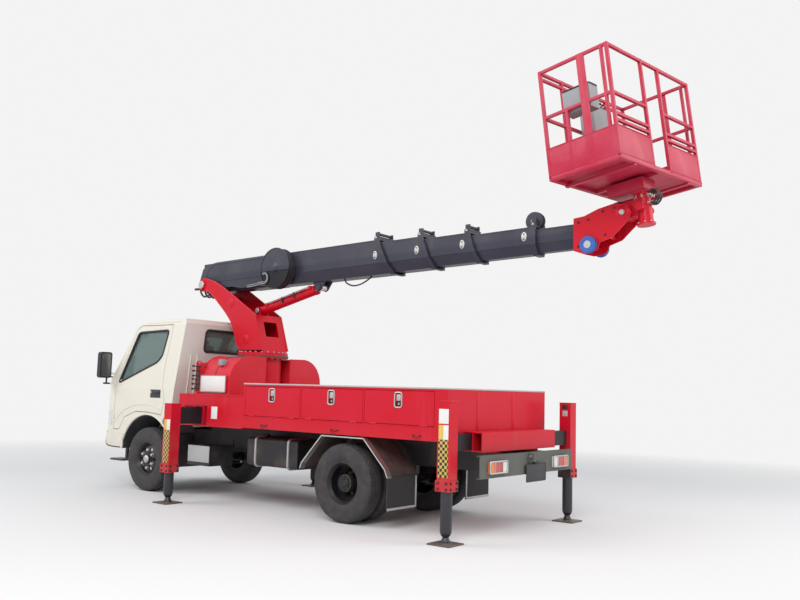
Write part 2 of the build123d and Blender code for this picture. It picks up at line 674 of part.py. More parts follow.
def locker_doors():
    """Drop-down locker doors, each with a recessed paddle latch near its top edge."""
    face = BODY_HALF_WIDTH
    for number in range(LOCKER_DOORS):
        door = locker_door_box(number, 0)
        x = LOCKER_FRONT_X - (number + 0.5) * LOCKER_DOOR_PITCH
        rim = block(x - LATCH_WIDTH / 2, x + LATCH_WIDTH / 2, face - 1, face + LATCH_PROUD,
                    LATCH_Z - LATCH_HEIGHT / 2, LATCH_Z + LATCH_HEIGHT / 2)
        dish = block(x - LATCH_WIDTH / 2 + LATCH_RIM, x + LATCH_WIDTH / 2 - LATCH_RIM, face - LATCH_DEPTH,
                     face + LATCH_PROUD + 1, LATCH_Z - LATCH_HEIGHT / 2 + LATCH_RIM,
                     LATCH_Z + LATCH_HEIGHT / 2 - LATCH_RIM)
        paddle = block(x - LATCH_WIDTH / 2 + LATCH_RIM + 8, x + LATCH_WIDTH / 2 - LATCH_RIM - 8,
                       face - LATCH_DEPTH - 1, face - 2, LATCH_Z - 10, LATCH_Z + LATCH_HEIGHT / 2 - LATCH_RIM - 8)
        left = joined([door + rim - dish, paddle] + locker_hinges(number, HINGE_RADIUS))
        for word, shape in zip(("left", "right"), both_sides(left)):
            save(f"locker_door_{word}_{number + 1}", shape)


def turret_platform():
    """The box behind the cab: deck, skirts, and the double housing of the front outrigger beams."""
    wide = BODY_HALF_WIDTH
    box = block(BODY_FRONT_X + SEAT, PLATFORM_FRONT_X, -wide, wide, PLATFORM_BOTTOM, PLATFORM_TOP)
    box -= block(BODY_FRONT_X + PLATFORM_WALL, PLATFORM_FRONT_X - PLATFORM_WALL, -wide + PLATFORM_WALL,
                 wide - PLATFORM_WALL, PLATFORM_BOTTOM - 1, PLATFORM_TOP - PLATFORM_WALL)
    half_pitch = FRONT_BEAM_PITCH / 2
    middle = FRONT_BEAM_X + half_pitch
    mouth = block(middle - 250, middle + 165, -wide - 1, wide + 1, FRONT_BEAM_Z - 112, FRONT_BEAM_Z + 112)
    box -= mouth
    tube = housing(middle, FRONT_BEAM_PITCH, FRONT_BEAM_WIDTH, FRONT_BEAM_HEIGHT, FRONT_BEAM_Z, wide - 8)
    posts = [block(x, x + PLATFORM_WALL, -wide + 9, wide - 9, PLATFORM_BOTTOM, PLATFORM_TOP - PLATFORM_WALL)
             for x in (middle - 190, middle + 170)]
    web = joined(posts) - block(middle - 400, middle + 400, -500, 500, PLATFORM_BOTTOM - 1, PLATFORM_TOP - 120)
    hanger = block(middle - half_pitch - 60, middle + half_pitch + 60, -200, 200,
                   FRONT_BEAM_Z + FRONT_BEAM_HEIGHT / 2 + GAP + HOUSING_WALL - 1, PLATFORM_TOP - PLATFORM_WALL + 1)
    save("turret_platform", joined([box, tube, web, hanger]))


def housing(middle, pitch, width, height, z, half_length):
    """Two square tubes side by side across the truck, one for each beam of a pair."""
    reach = pitch / 2 + width / 2 + GAP + HOUSING_WALL
    tall = height / 2 + GAP + HOUSING_WALL
    tube = block(middle - reach, middle + reach, -half_length, half_length, z - tall, z + tall)
    for x in (middle - pitch / 2, middle + pitch / 2):
        tube -= block(x - width / 2 - GAP, x + width / 2 + GAP, -half_length - 1, half_length + 1,
                      z - height / 2 - GAP, z + height / 2 + GAP)
    return tube


def rear_outrigger_housing():
    """The rear pair's housing behind the body, hung on the chassis rails by two brackets."""
    middle = REAR_BEAM_X - REAR_BEAM_PITCH / 2
    tube = housing(middle, REAR_BEAM_PITCH, REAR_BEAM_WIDTH, REAR_BEAM_HEIGHT, REAR_BEAM_Z, REAR_HOUSING_HALF)
    low = REAR_BEAM_Z - REAR_BEAM_HEIGHT / 2 - GAP - HOUSING_WALL
    feet = both_sides(block(middle - 70, middle + 70, RAIL_OUTER_Y - RAIL_FLANGE, RAIL_OUTER_Y,
                            RAIL_TOP + SEAT, low + 1))
    save("rear_outrigger_housing", joined([tube] + feet))


def outrigger(name, side, beam_x, width, height, z, column_y, top, bottom, leg_top):
    """One beam with its column and collar, and the leg with its foot plate that slides in the column."""
    half = COLUMN_SIZE / 2
    column_x = beam_x - (20 if z == REAR_BEAM_Z else 0)
    y = side * column_y
    inner = side * -BEAM_INNER_Y
    end = side * (column_y - half)
    beam = block(beam_x - width / 2, beam_x + width / 2, inner, end, z - height / 2, z + height / 2)
    beam -= block(beam_x - width / 2 + BEAM_WALL, beam_x + width / 2 - BEAM_WALL, inner - side, end + side,
                  z - height / 2 + BEAM_WALL, z + height / 2 - BEAM_WALL)
    pad = GAP - SEAT
    shoe = block(beam_x - width / 2 - pad, beam_x + width / 2 + pad, inner, inner + side * 60,
                 z - height / 2 - pad, z + height / 2 + pad)
    shoe -= block(beam_x - width / 2 + BEAM_WALL, beam_x + width / 2 - BEAM_WALL, inner - side, inner + side * 61,
                  z - height / 2 + BEAM_WALL, z + height / 2 - BEAM_WALL)
    column = block(column_x - half, column_x + half, y - half, y + half, bottom, top)
    wide = half + COLLAR_PROUD
    collar = block(column_x - wide, column_x + wide, y - wide, y + wide, bottom, bottom + COLLAR_HEIGHT)
    bore = half - COLUMN_WALL
    hollow = block(column_x - bore, column_x + bore, y - bore, y + bore, bottom - 1, top - COLUMN_WALL)
    save(f"outrigger_beam_{name}", joined([beam, shoe, column, collar]) - hollow)
    leg_half = LEG_SIZE / 2
    leg = block(column_x - leg_half, column_x + leg_half, y - leg_half, y + leg_half, FOOT_PLATE, leg_top)
    slipper = bore - SEAT
    pads = block(column_x - slipper, column_x + slipper, y - slipper, y + slipper, leg_top - 80, leg_top)
    foot = block(column_x - FOOT_SIZE / 2, column_x + FOOT_SIZE / 2, y - FOOT_SIZE / 2, y + FOOT_SIZE / 2,
                 0, FOOT_PLATE)
    ankle = block(column_x - 66, column_x + 66, y - 66, y + 66, FOOT_PLATE, FOOT_PLATE + 22)
    save(f"outrigger_leg_{name}", joined([leg, pads, foot, ankle]))


def outriggers():
    """Four outriggers; the beams of a pair lie side by side, so they slide past each other."""
    for word, side, shift in (("left", 1, 0), ("right", -1, 1)):
        outrigger(f"front_{word}", side, FRONT_BEAM_X + shift * FRONT_BEAM_PITCH, FRONT_BEAM_WIDTH,
                  FRONT_BEAM_HEIGHT, FRONT_BEAM_Z, FRONT_COLUMN_Y, FRONT_COLUMN_TOP, FRONT_COLUMN_BOTTOM,
                  FRONT_LEG_TOP)
        outrigger(f"rear_{word}", side, REAR_BEAM_X - shift * REAR_BEAM_PITCH, REAR_BEAM_WIDTH,
                  REAR_BEAM_HEIGHT, REAR_BEAM_Z, REAR_COLUMN_Y, REAR_COLUMN_TOP, REAR_COLUMN_BOTTOM,
                  REAR_LEG_TOP)


GUARD_LINE = [(572, 500), (548, 562), (278, 852), (-286, 852), (-565, 574), (-600, 500)]
GUARD_THICK = 6
GUARD_INNER_Y = 440
GUARD_OUTER_Y = 908
TRIM_WIDTH = 62
TRIM_PROUD = 6
FLAP_BOTTOM = 190
FLAP_THICK = 5
FLAP_TUCK = 4


def beside(points, thick):
    """The same line moved sideways by a thickness, each corner on the bisector of its two runs."""
    moved = []
    last = len(points) - 1
    for index, (x, z) in enumerate(points):
        runs = [(points[max(index - 1, 0)], points[max(index, 1)]),
                (points[min(index, last - 1)], points[min(index + 1, last)])]
        normals = []
        for (ax, az), (bx, bz) in runs:
            length = math.hypot(bx - ax, bz - az)
            normals.append(((bz - az) / length, (ax - bx) / length))
        nx, nz = normals[0][0] + normals[1][0], normals[0][1] + normals[1][1]
        scale = 2 * thick / (nx * nx + nz * nz)
        moved.append((x + nx * scale, z + nz * scale))
    return moved


def band(points, thick, y0, y1):
    """A folded strip that follows a line in side view, one thickness outside it."""
    return plate_xz(points + beside(points, thick)[::-1], y0, y1)


def fenders():
    """Folded mudguards over the rear wheels with their bright edge strips, struts and mud flaps."""
    guard = band(GUARD_LINE, GUARD_THICK, GUARD_INNER_Y, GUARD_OUTER_Y)
    trim = band(GUARD_LINE, GUARD_THICK + TRIM_PROUD, GUARD_OUTER_Y - TRIM_WIDTH, GUARD_OUTER_Y + TRIM_PROUD)
    rear_x, rear_z = GUARD_LINE[-1]
    flap = block(rear_x - FLAP_THICK, rear_x + FLAP_TUCK, GUARD_INNER_Y + 3, GUARD_OUTER_Y - 3, FLAP_BOTTOM,
                 rear_z + FLAP_TUCK)
    struts = [block(x - 20, x + 20, GUARD_INNER_Y + 20, GUARD_OUTER_Y - 120, 853, BODY_BOTTOM - SEAT)
              for x in (-220, 210)]
    save("fenders", *both_sides(joined([guard, trim, flap] + struts)))


REAR_BUMPER_X = -1640
REAR_BUMPER_THICK = 40
REAR_BUMPER_HALF = 880
REAR_BUMPER_BOTTOM = 572
REAR_BUMPER_TOP = 778
LAMP_LENGTH = 300
LAMP_HEIGHT = 105
LAMP_DEPTH = 24
LAMP_INNER_Y = 450
LAMP_Z = 615


def rear_bumper():
    """A deep folded bumper across the tail, on the rails' ends, with a towing hook in the middle."""
    front = REAR_BUMPER_X + REAR_BUMPER_THICK
    bar = block(REAR_BUMPER_X, front, -REAR_BUMPER_HALF, REAR_BUMPER_HALF, REAR_BUMPER_BOTTOM, REAR_BUMPER_TOP)
    bar -= block(REAR_BUMPER_X + 8, front + 1, -REAR_BUMPER_HALF - 1, REAR_BUMPER_HALF + 1,
                 REAR_BUMPER_BOTTOM + 8, REAR_BUMPER_TOP - 8)
    stays = both_sides(block(REAR_BUMPER_X + 4, RAIL_REAR_X - SEAT, RAIL_OUTER_Y - RAIL_FLANGE, RAIL_OUTER_Y,
                             RAIL_BOTTOM, RAIL_TOP))
    hook = block(REAR_BUMPER_X - 60, REAR_BUMPER_X + 1, -22, 22, 690, 770)
    hook -= block(REAR_BUMPER_X - 42, REAR_BUMPER_X - 14, -23, 23, 712, 771)
    save("rear_bumper", joined([bar, hook] + stays))


TANK_TOP = 770
TANK_BOTTOM = 400
TANK_INNER_Y = 410
TANK_OUTER_Y = 800


def side_tanks():
    """Battery box and hydraulic oil tank on the left rail, fuel tank and silencer on the right rail."""
    battery = block(2230, 2640, TANK_INNER_Y, TANK_OUTER_Y - 40, 385, 620)
    shelf = block(2230, 2640, RAIL_OUTER_Y + SEAT, TANK_INNER_Y + 1, 560, 700)
    oil = block(760, 1560, TANK_INNER_Y + 10, TANK_OUTER_Y - 30, TANK_BOTTOM + 60, TANK_TOP)
    oil = fillet(oil.edges().filter_by(Axis.X), 40)
    oil_straps = [block(x - 25, x + 25, RAIL_OUTER_Y + SEAT, TANK_INNER_Y + 30, 610, 760) for x in (900, 1420)]
    fuel = block(800, 1600, -TANK_OUTER_Y, -TANK_INNER_Y - 10, TANK_BOTTOM, TANK_TOP - 20)
    fuel = fillet(fuel.edges().filter_by(Axis.X), 60)
    fuel_straps = [block(x - 25, x + 25, -TANK_INNER_Y - 30, -RAIL_OUTER_Y - SEAT, 610, 740) for x in (950, 1450)]
    silencer = rod_x(-560, 560, 1900, 2600, 95)
    pipe = rod_x(-560, 560, 1700, 2850, 28)
    hangers = [block(x - 20, x + 20, -540, -RAIL_OUTER_Y - SEAT, 620, 660) for x in (2050, 2450)]
    save("side_tanks", joined([battery, shelf]), joined([oil] + oil_straps), joined([fuel] + fuel_straps),
         joined([silencer, pipe] + hangers))


HOOD_BASE = 1237
HOOD_TOP = 1690
HOOD_INNER_Y = 262
HOOD_OUTER_Y = 806
HOOD_LENGTH = 560
HOOD_LEFT_REAR_X = 1870
HOOD_RIGHT_REAR_X = 1980
HOOD_RADIUS = 300


def hood(rear_x):
    """A barrel-vaulted cover that stands on the deck, its outer shoulder well rounded."""
    outline = make_face(Polyline((HOOD_INNER_Y, HOOD_BASE + SEAT), (HOOD_OUTER_Y, HOOD_BASE + SEAT),
                                 (HOOD_OUTER_Y, HOOD_TOP), (HOOD_INNER_Y, HOOD_TOP), close=True))
    shoulder = outline.vertices().sort_by(Axis.X)[2:].sort_by(Axis.Y)[-1]
    outline = fillet(shoulder, HOOD_RADIUS)
    end = Plane(origin=(rear_x, 0, 0), x_dir=(0, 1, 0), z_dir=(1, 0, 0))
    return extrude(end * outline, amount=HOOD_LENGTH)


def machinery_hoods():
    """Both hoods; the left one carries the control panel and the lever bank on its outer side."""
    left = hood(HOOD_LEFT_REAR_X)
    panel = block(1930, 2380, HOOD_OUTER_Y - 60, HOOD_OUTER_Y + 22, 1262, 1455)
    bank = block(2400, 2470, HOOD_OUTER_Y - 90, HOOD_OUTER_Y + 12, HOOD_BASE + SEAT, 1610)
    bridge = block(2370, 2410, HOOD_OUTER_Y - 90, HOOD_OUTER_Y - 10, HOOD_BASE + SEAT, 1440)
    right = mirror(hood(HOOD_RIGHT_REAR_X), about=Plane.XZ)
    save("machinery_hoods", joined([left, panel, bank, bridge]), right)


# Turret

def turret_column():
    """The fixed column on the deck, with the slewing ring on its head and a flared foot."""
    z = PLATFORM_TOP + SEAT
    column = rod_z(SLEW_X, 0, z, RING_Z - RING_HEIGHT, COLUMN_RADIUS)
    foot = rod_z(SLEW_X, 0, z, z + 24, COLUMN_RADIUS + 22)
    ring = rod_z(SLEW_X, 0, RING_Z - RING_HEIGHT, RING_Z, RING_RADIUS)
    save("turret_column", joined([column, foot, ring]))


ARM_OUTLINE = [(1990, 1792), (2420, 1792), (2470, 1870), (2625, 2190), (3060, 2565), (3220, 2582),
               (3306, 2668), (3220, 2754), (3120, 2740), (2844, 2640), (2142, 2236)]
WINDOW_HALF = 110
SADDLE_Z = 2215


def turret_pedestal():
    """The slewing pedestal: turntable plate, two leaning side plates with webs, boom pin and cylinder lugs."""
    z = RING_Z + SEAT
    table = rod_z(SLEW_X, 0, z, z + TURNTABLE_PLATE, RING_RADIUS)
    inner = ARM_HALF_WIDTH - ARM_PLATE
    base = z + TURNTABLE_PLATE - 1
    outline = [(x, max(height, base)) for x, height in ARM_OUTLINE]
    sides = both_sides(plate_xz(outline, inner, ARM_HALF_WIDTH))
    rear = plate_xz([(1990, base), (2142, 2236), (2160, 2226), (2012, base)], -inner - 1, inner + 1)
    window = block(1900, 2250, -WINDOW_HALF, WINDOW_HALF, 1965, 2150)
    front = plate_xz([(2400, base), (2450, 1872), (2605, 2195), (2980, 2520), (3000, 2505), (2625, 2180),
                      (2470, 1860), (2420, base)], -inner - 1, inner + 1)
    saddle = block(2150, 2610, -inner - 1, inner + 1, SADDLE_Z - 22, SADDLE_Z)
    pin = rod_y(PIVOT_X, PIVOT_Z, -ARM_HALF_WIDTH - 16, ARM_HALF_WIDTH + 16, PIVOT_PIN_RADIUS)
    heads = both_sides(rod_y(PIVOT_X, PIVOT_Z, ARM_HALF_WIDTH - 1, ARM_HALF_WIDTH + 10, 62))
    x, height = CYLINDER_BASE_X, CYLINDER_BASE_Z
    lug_in = EYE_WIDTH / 2 + GAP
    lugs = both_sides(plate_xz([(x - 40, SADDLE_Z - 2), (x + 70, SADDLE_Z - 2), (x + 50, height),
                                (x, height + 52), (x - 50, height)], lug_in, lug_in + 20))
    base_pin = rod_y(x, height, -lug_in - 30, lug_in + 30, EYE_PIN_RADIUS)
    save("turret_pedestal", joined([table] + sides + [rear - window, front, saddle, pin, base_pin] + heads + lugs))


def lift_cylinder():
    """The lift cylinder: a barrel on the pedestal's pin, and a rod whose eye meets the boom's lug."""
    run = math.hypot(CYLINDER_EYE_X - CYLINDER_BASE_X, CYLINDER_EYE_Z - CYLINDER_BASE_Z)
    climb = math.degrees(math.atan2(CYLINDER_EYE_Z - CYLINDER_BASE_Z, CYLINDER_BASE_X - CYLINDER_EYE_X))
    place = Pos(CYLINDER_BASE_X, 0, CYLINDER_BASE_Z) * Rot(0, climb, 0)
    eye = rod_y(0, 0, -EYE_WIDTH / 2, EYE_WIDTH / 2, EYE_RADIUS)
    neck = rod_x(0, 0, -70, 0, 40)
    barrel = rod_x(0, 0, -BARREL_LENGTH, -62, BARREL_RADIUS)
    barrel -= rod_x(0, 0, -BARREL_LENGTH - 1, -90, BARREL_RADIUS - BARREL_WALL)
    gland = rod_x(0, 0, -BARREL_LENGTH - 12, -BARREL_LENGTH + 15, BARREL_RADIUS + 5)
    gland -= rod_x(0, 0, -BARREL_LENGTH - 20, -BARREL_LENGTH + 20, ROD_RADIUS + SEAT)
    base = joined([eye, neck, barrel, gland]) - rod_y(0, 0, -100, 100, EYE_PIN_RADIUS + PIN_GAP)
    save("lift_barrel", place * base)
    tip = rod_y(-run, 0, -EYE_WIDTH / 2, EYE_WIDTH / 2, EYE_RADIUS - TIP_RELIEF)
    rod = rod_x(0, 0, -run, -PISTON_REST, ROD_RADIUS)
    piston = rod_x(0, 0, -PISTON_REST - PISTON_LENGTH, -PISTON_REST, BARREL_RADIUS - BARREL_WALL - SEAT)
    save("lift_rod", place * joined([tip, rod, piston]))


# Boom

def boom_frame():
    """The boom's own frame: origin at its pivot pin, x towards the cab, and the tip at negative x."""
    return Pos(PIVOT_X, 0, PIVOT_Z) * Rot(0, BOOM_ELEVATION, 0)


# Each section: how far its tip is from the pivot, its length, and how far its top edge is cut back
SECTIONS = [(3190, 3250, 200), (3742, 2900, 150), (4312, 2800, 120), (4966, 2700, 0), (5440, 2560, 0)]


def section_outline(number, shrink=0):
    """A box section with canted lower sides, for one place in the nest, drawn in by shrink."""
    half = BOOM_WIDTH / 2 - number * STEP_SIDE
    low = BOOM_BOTTOM + number * STEP_BOTTOM
    high = BOOM_TOP - number * STEP_TOP
    cant_y = BOOM_CANT_Y - number * 4
    cant_z = BOOM_CANT_Z - number * 8
    points = [(-half, high), (half, high), (half, low + cant_z), (half - cant_y, low), (-half + cant_y, low),
              (-half, low + cant_z)]
    return grown(make_face(Polyline(*points, close=True)), -shrink)


def along(face, x0, x1):
    """An outline carried along the boom from x0 to x1."""
    end = Plane(origin=(min(x0, x1), 0, 0), x_dir=(0, 1, 0), z_dir=(1, 0, 0))
    return extrude(end * face, amount=abs(x1 - x0))


def boom_section(number):
    """One hollow section with a slanted collar at its tip and wear pads at its tail."""
    tip, length, slant = SECTIONS[number]
    low = BOOM_BOTTOM + number * STEP_BOTTOM - COLLAR_OVER
    high = BOOM_TOP - number * STEP_TOP + COLLAR_OVER
    half = BOOM_WIDTH / 2 - number * STEP_SIDE + COLLAR_OVER
    tail = -tip + length
    tube = along(section_outline(number), -tip, tail)
    over = plate_xz([(-tip - 300, low - 100), (-tip, low), (-tip + slant, high), (-tip + slant, high + 200),
                     (-tip - 300, high + 200)], -half - 50, half + 50)
    pieces = [tube - over]
    if number < 4:
        collar = along(section_outline(number, -COLLAR_OVER), -tip - 1, -tip + slant + COLLAR_LENGTH + 60)
        slab = plate_xz([(-tip, low), (-tip + COLLAR_LENGTH, low), (-tip + slant + COLLAR_LENGTH, high),
                         (-tip + slant, high)], -half, half)
        pieces.append(collar & slab)
        ear_x = -tip + slant
        pieces.append(block(ear_x + 4, ear_x + 66, -half + 24, half - 24, high - 4, high + 26))
        pieces += both_sides(block(ear_x + 8, ear_x + 62, half - 54, half - 38, high + 20, high + 78))
        pieces.append(rod_y(ear_x + 35, high + 56, -half + 40, half - 40, 16))
    if number:
        pads = along(section_outline(number - 1, BOOM_WALL + SEAT), tail - 60, tail)
        pieces.append(pads)
    solid = joined(pieces) - along(section_outline(number, BOOM_WALL), -tip - 400, tail + 1)
    if number == 0:
        bosses = both_sides(rod_y(0, 0, BOOM_WIDTH / 2 - 8, ARM_HALF_WIDTH - ARM_PLATE - GAP, PIVOT_BOSS_RADIUS))
        solid = joined([solid] + bosses) - rod_y(0, 0, -400, 400, PIVOT_PIN_RADIUS + PIN_GAP)
        solid = joined([solid] + cylinder_lugs())
    if number == 3:
        wheel_x, wheel_z = -tip + 60, high + 44
        solid += rod_y(wheel_x, wheel_z + 12, -36, 36, PULLEY_RADIUS) - rod_y(wheel_x, wheel_z + 12, -12, 12, 400)
        solid += rod_y(wheel_x, wheel_z + 12, -13, 13, PULLEY_RADIUS - 14)
    save(f"boom_section_{number + 1}", boom_frame() * solid)


def cylinder_lugs():
    """Two lugs under the base section that stand either side of the rod's eye, with their pin heads."""
    dx, dz = CYLINDER_EYE_X - PIVOT_X, CYLINDER_EYE_Z - PIVOT_Z
    turn = math.radians(BOOM_ELEVATION)
    x = dx * math.cos(turn) - dz * math.sin(turn)
    z = dx * math.sin(turn) + dz * math.cos(turn)
    inner = EYE_WIDTH / 2 + GAP
    lug = plate_xz([(x - 110, BOOM_BOTTOM + 2), (x + 90, BOOM_BOTTOM + 2), (x + 48, z - 20), (x, z - 50),
                    (x - 48, z - 20)], inner, inner + 18)
    head = rod_y(x, z, inner + 17, inner + 30, 40)
    return both_sides(lug + head)


TAIL_COVER_HALF = 178
TAIL_COVER_REAR = 90
TAIL_COVER_FRONT = -1250
TAIL_COVER_LOW = -60
TAIL_COVER_HIGH = 294
TAIL_COVER_RADIUS = 26
REEL_X = -1440
REEL_Z = 88
REEL_RADIUS = 250
REEL_WIDTH = 120


def boom_tail_cover():
    """A rounded cover over the boom's tail, and the hose reel on its left side."""
    outline = [(TAIL_COVER_REAR, TAIL_COVER_LOW), (TAIL_COVER_REAR + 20, 60), (TAIL_COVER_REAR - 40, 220),
               (TAIL_COVER_REAR - 150, TAIL_COVER_HIGH - 30), (TAIL_COVER_REAR - 320, TAIL_COVER_HIGH),
               (TAIL_COVER_FRONT, TAIL_COVER_HIGH), (TAIL_COVER_FRONT, TAIL_COVER_LOW - 30),
               (-700, TAIL_COVER_LOW - 30), (-560, TAIL_COVER_LOW)]
    cover = plate_xz(outline, -TAIL_COVER_HALF, TAIL_COVER_HALF)
    shoulders = make_face(Polyline((-TAIL_COVER_HALF, TAIL_COVER_LOW - 40), (TAIL_COVER_HALF, TAIL_COVER_LOW - 40),
                                   (TAIL_COVER_HALF, TAIL_COVER_HIGH), (-TAIL_COVER_HALF, TAIL_COVER_HIGH),
                                   close=True))
    shoulders = fillet(shoulders.vertices().sort_by(Axis.Y)[2:], TAIL_COVER_RADIUS)
    cover &= along(shoulders, TAIL_COVER_FRONT - 10, TAIL_COVER_REAR + 30)
    cover -= along(section_outline(0, -SEAT), TAIL_COVER_FRONT - 1, BOOM_TAIL_END + SEAT)
    cover -= rod_y(0, 0, -TAIL_COVER_HALF - 1, TAIL_COVER_HALF + 1, PIVOT_BOSS_RADIUS + GAP)
    side = BOOM_WIDTH / 2 + SEAT
    reel = rod_y(REEL_X, REEL_Z, side, side + REEL_WIDTH, REEL_RADIUS - 30)
    discs = [rod_y(REEL_X, REEL_Z, y, y + 8, REEL_RADIUS) for y in (side + 14, side + REEL_WIDTH - 8)]
    bridge = block(TAIL_COVER_FRONT - 60, TAIL_COVER_FRONT + 30, side, TAIL_COVER_HALF, 0, 160)
    shape = joined([cover, reel, bridge] + discs)
    save("boom_tail_cover", boom_frame() * shape)


BOOM_TAIL_END = SECTIONS[0][1] - SECTIONS[0][0]
HEAD_PLATE = 12
HEAD_HALF = 112
HEAD_OUTLINE = [(-2150, 2700), (-2150, 3012), (-2260, 3024), (-2400, 3078), (-2560, 3112), (-2690, 3086),
                (-2728, 3010), (-2690, 2935), (-2545, 2800), (-2420, 2760), (-2390, 2690), (-2260, 2670)]
HEAD_BLOCK = 110
ROLLER_X = -2314
ROLLER_Z = 2742
ROLLER_RADIUS = 77
ROLLER_WIDTH = 46
LEVEL_PIN_RADIUS = 28
LEVEL_HUB_RADIUS = 62


def boom_head():
    """The head on the last section: two side plates, a collar, cross tubes, the levelling pin and roller axle."""
    inner = HEAD_HALF - HEAD_PLATE
    plates = both_sides(plate_xz(HEAD_OUTLINE, inner, HEAD_HALF))
    socket = block(-2150 - HEAD_BLOCK, -2150, -HEAD_HALF, HEAD_HALF, 2700, 3006)
    tubes = [rod_y(x, z, -inner - 1, inner + 1, 22) for x, z in ((-2445, 3050), (-2470, 2830))]
    pin = rod_y(LEVEL_PIN_X, LEVEL_PIN_Z, -HEAD_HALF - 12, HEAD_HALF + 12, LEVEL_PIN_RADIUS)
    axle = rod_y(ROLLER_X, ROLLER_Z, -HEAD_HALF - 8 - ROLLER_WIDTH, HEAD_HALF + 8 + ROLLER_WIDTH, 14)
    solid = joined([socket] + plates + tubes + [pin, axle])
    tip, length, _ = SECTIONS[4]
    solid -= boom_frame() * along(section_outline(4, -SEAT), -tip - SEAT, -tip + 600)
    save("boom_head", solid)
    rollers = []
    for side in (1, -1):
        near = side * (HEAD_HALF + SEAT)
        roller = rod_y(ROLLER_X, ROLLER_Z, near, near + side * ROLLER_WIDTH, ROLLER_RADIUS)
        rollers.append(roller - rod_y(ROLLER_X, ROLLER_Z, -400, 400, 14 + SEAT))
    save("head_rollers", *rollers)


# Work cage

def cage_frame_place(turned_too):
    """The cage's frame: origin under its floor, pitched with the bracket, and turned on the rotator."""
    place = Pos(CAGE_X, 0, CAGE_Z) * Rot(0, CAGE_PITCH, 0) * Pos(ROTATOR_X, 0, 0)
    return place * Rot(0, 0, CAGE_TURN) * Pos(-ROTATOR_X, 0, 0) if turned_too else place * Pos(-ROTATOR_X, 0, 0)


ROTATOR_X = -130
ROTATOR_LOW = -430
ROTATOR_HIGH = -130
MOUNT_PLATE = 20
BRACKET_HALF = 88


def cage_bracket():
    """The levelling bracket: a hub on the head's pin, a web, and the upright rotator that turns the cage."""
    turn = math.radians(CAGE_PITCH)
    dx, dz = LEVEL_PIN_X - CAGE_X, LEVEL_PIN_Z - CAGE_Z
    pin_x = dx * math.cos(turn) - dz * math.sin(turn)
    pin_z = dx * math.sin(turn) + dz * math.cos(turn)
    rotator = rod_z(ROTATOR_X, 0, ROTATOR_LOW, ROTATOR_HIGH, ROTATOR_RADIUS)
    flanges = [rod_z(ROTATOR_X, 0, z, z + 18, ROTATOR_RADIUS + 16) for z in (ROTATOR_LOW, ROTATOR_HIGH - 18)]
    hub = rod_y(pin_x, pin_z, -BRACKET_HALF, BRACKET_HALF, LEVEL_HUB_RADIUS)
    web = block(ROTATOR_X, pin_x + 20, -56, 56, pin_z - 50, pin_z + 100)
    solid = joined([rotator, hub, web] + flanges) - rod_y(pin_x, pin_z, -200, 200, LEVEL_PIN_RADIUS + PIN_GAP)
    save("cage_bracket", cage_frame_place(False) * solid)


RAIL_MIDDLE = 0.62
SHEET_HEIGHT = 340
ENTRY_HALF = 245
TOE = 42


def cage_frame():
    """The cage: floor on ribs, posts, top and middle rails, and sheets round its foot, with an entry behind."""
    x1, y1, tube = CAGE_LENGTH / 2, CAGE_WIDTH / 2, CAGE_TUBE
    top = CAGE_HEIGHT
    mid = top * RAIL_MIDDLE
    pieces = [block(-x1, x1, -y1, y1, TOE - 8, TOE)]
    for x in (-x1, x1 - tube):
        pieces.append(block(x, x + tube, -y1, y1, 0, TOE))
    for y in (-y1, -tube / 2, y1 - tube):
        pieces.append(block(-x1, x1, y, y + tube, 0, TOE))
    # Posts: x and y of the corner nearest the cage's left front, as places of the tube's middle
    posts = [(-x1, -y1), (-x1, y1 - tube), (x1 - tube, -y1), (x1 - tube, y1 - tube), (-tube / 2, -y1),
             (-tube / 2, y1 - tube), (-x1, ENTRY_HALF), (-x1, -ENTRY_HALF - tube), (x1 - tube, ENTRY_HALF),
             (x1 - tube, -ENTRY_HALF - tube)]
    for x, y in posts:
        pieces.append(block(x, x + tube, y, y + tube, 0, top))
    for z in (mid, top - tube):
        for y in (-y1, y1 - tube):
            pieces.append(block(-x1, x1, y, y + tube, z, z + tube))
        pieces.append(block(x1 - tube, x1, -y1, y1, z, z + tube))
    pieces.append(block(-x1, -x1 + tube, -y1, y1, top - tube, top))
    for low, high in ((-y1, -ENTRY_HALF), (ENTRY_HALF, y1)):
        pieces.append(block(-x1, -x1 + tube, low, high, mid, mid + tube))
        pieces.append(block(-x1 + 4, -x1 + 4 + CAGE_SHEET, low, high, TOE - 1, SHEET_HEIGHT))
    for y in (-y1 + 4, y1 - 4 - CAGE_SHEET):
        pieces.append(block(-x1, x1, y, y + CAGE_SHEET, TOE - 1, SHEET_HEIGHT))
    pieces.append(block(x1 - 4 - CAGE_SHEET, x1 - 4, -y1, y1, TOE - 1, SHEET_HEIGHT))
    mount = ROTATOR_HIGH + SEAT
    pieces.append(rod_z(ROTATOR_X, 0, mount, mount + MOUNT_PLATE, ROTATOR_RADIUS + 20))
    pieces.append(block(ROTATOR_X - 80, 170, -110, 110, mount + MOUNT_PLATE - 1, 1))
    save("cage_frame", cage_frame_place(True) * joined(pieces))


def cage_controls():
    """The control box and the tool tray that hang inside the cage's front rail."""
    x1 = CAGE_LENGTH / 2 - CAGE_TUBE - SEAT
    top = CAGE_HEIGHT * RAIL_MIDDLE + 160
    console = block(x1 - 150, x1, -160, 160, top - 260, top)
    y1 = CAGE_WIDTH / 2 - CAGE_TUBE - SEAT
    tray = block(-120, 160, y1 - 140, y1, top - 250, top - 30)
    save("cage_controls", cage_frame_place(True) * console, cage_frame_place(True) * tray)


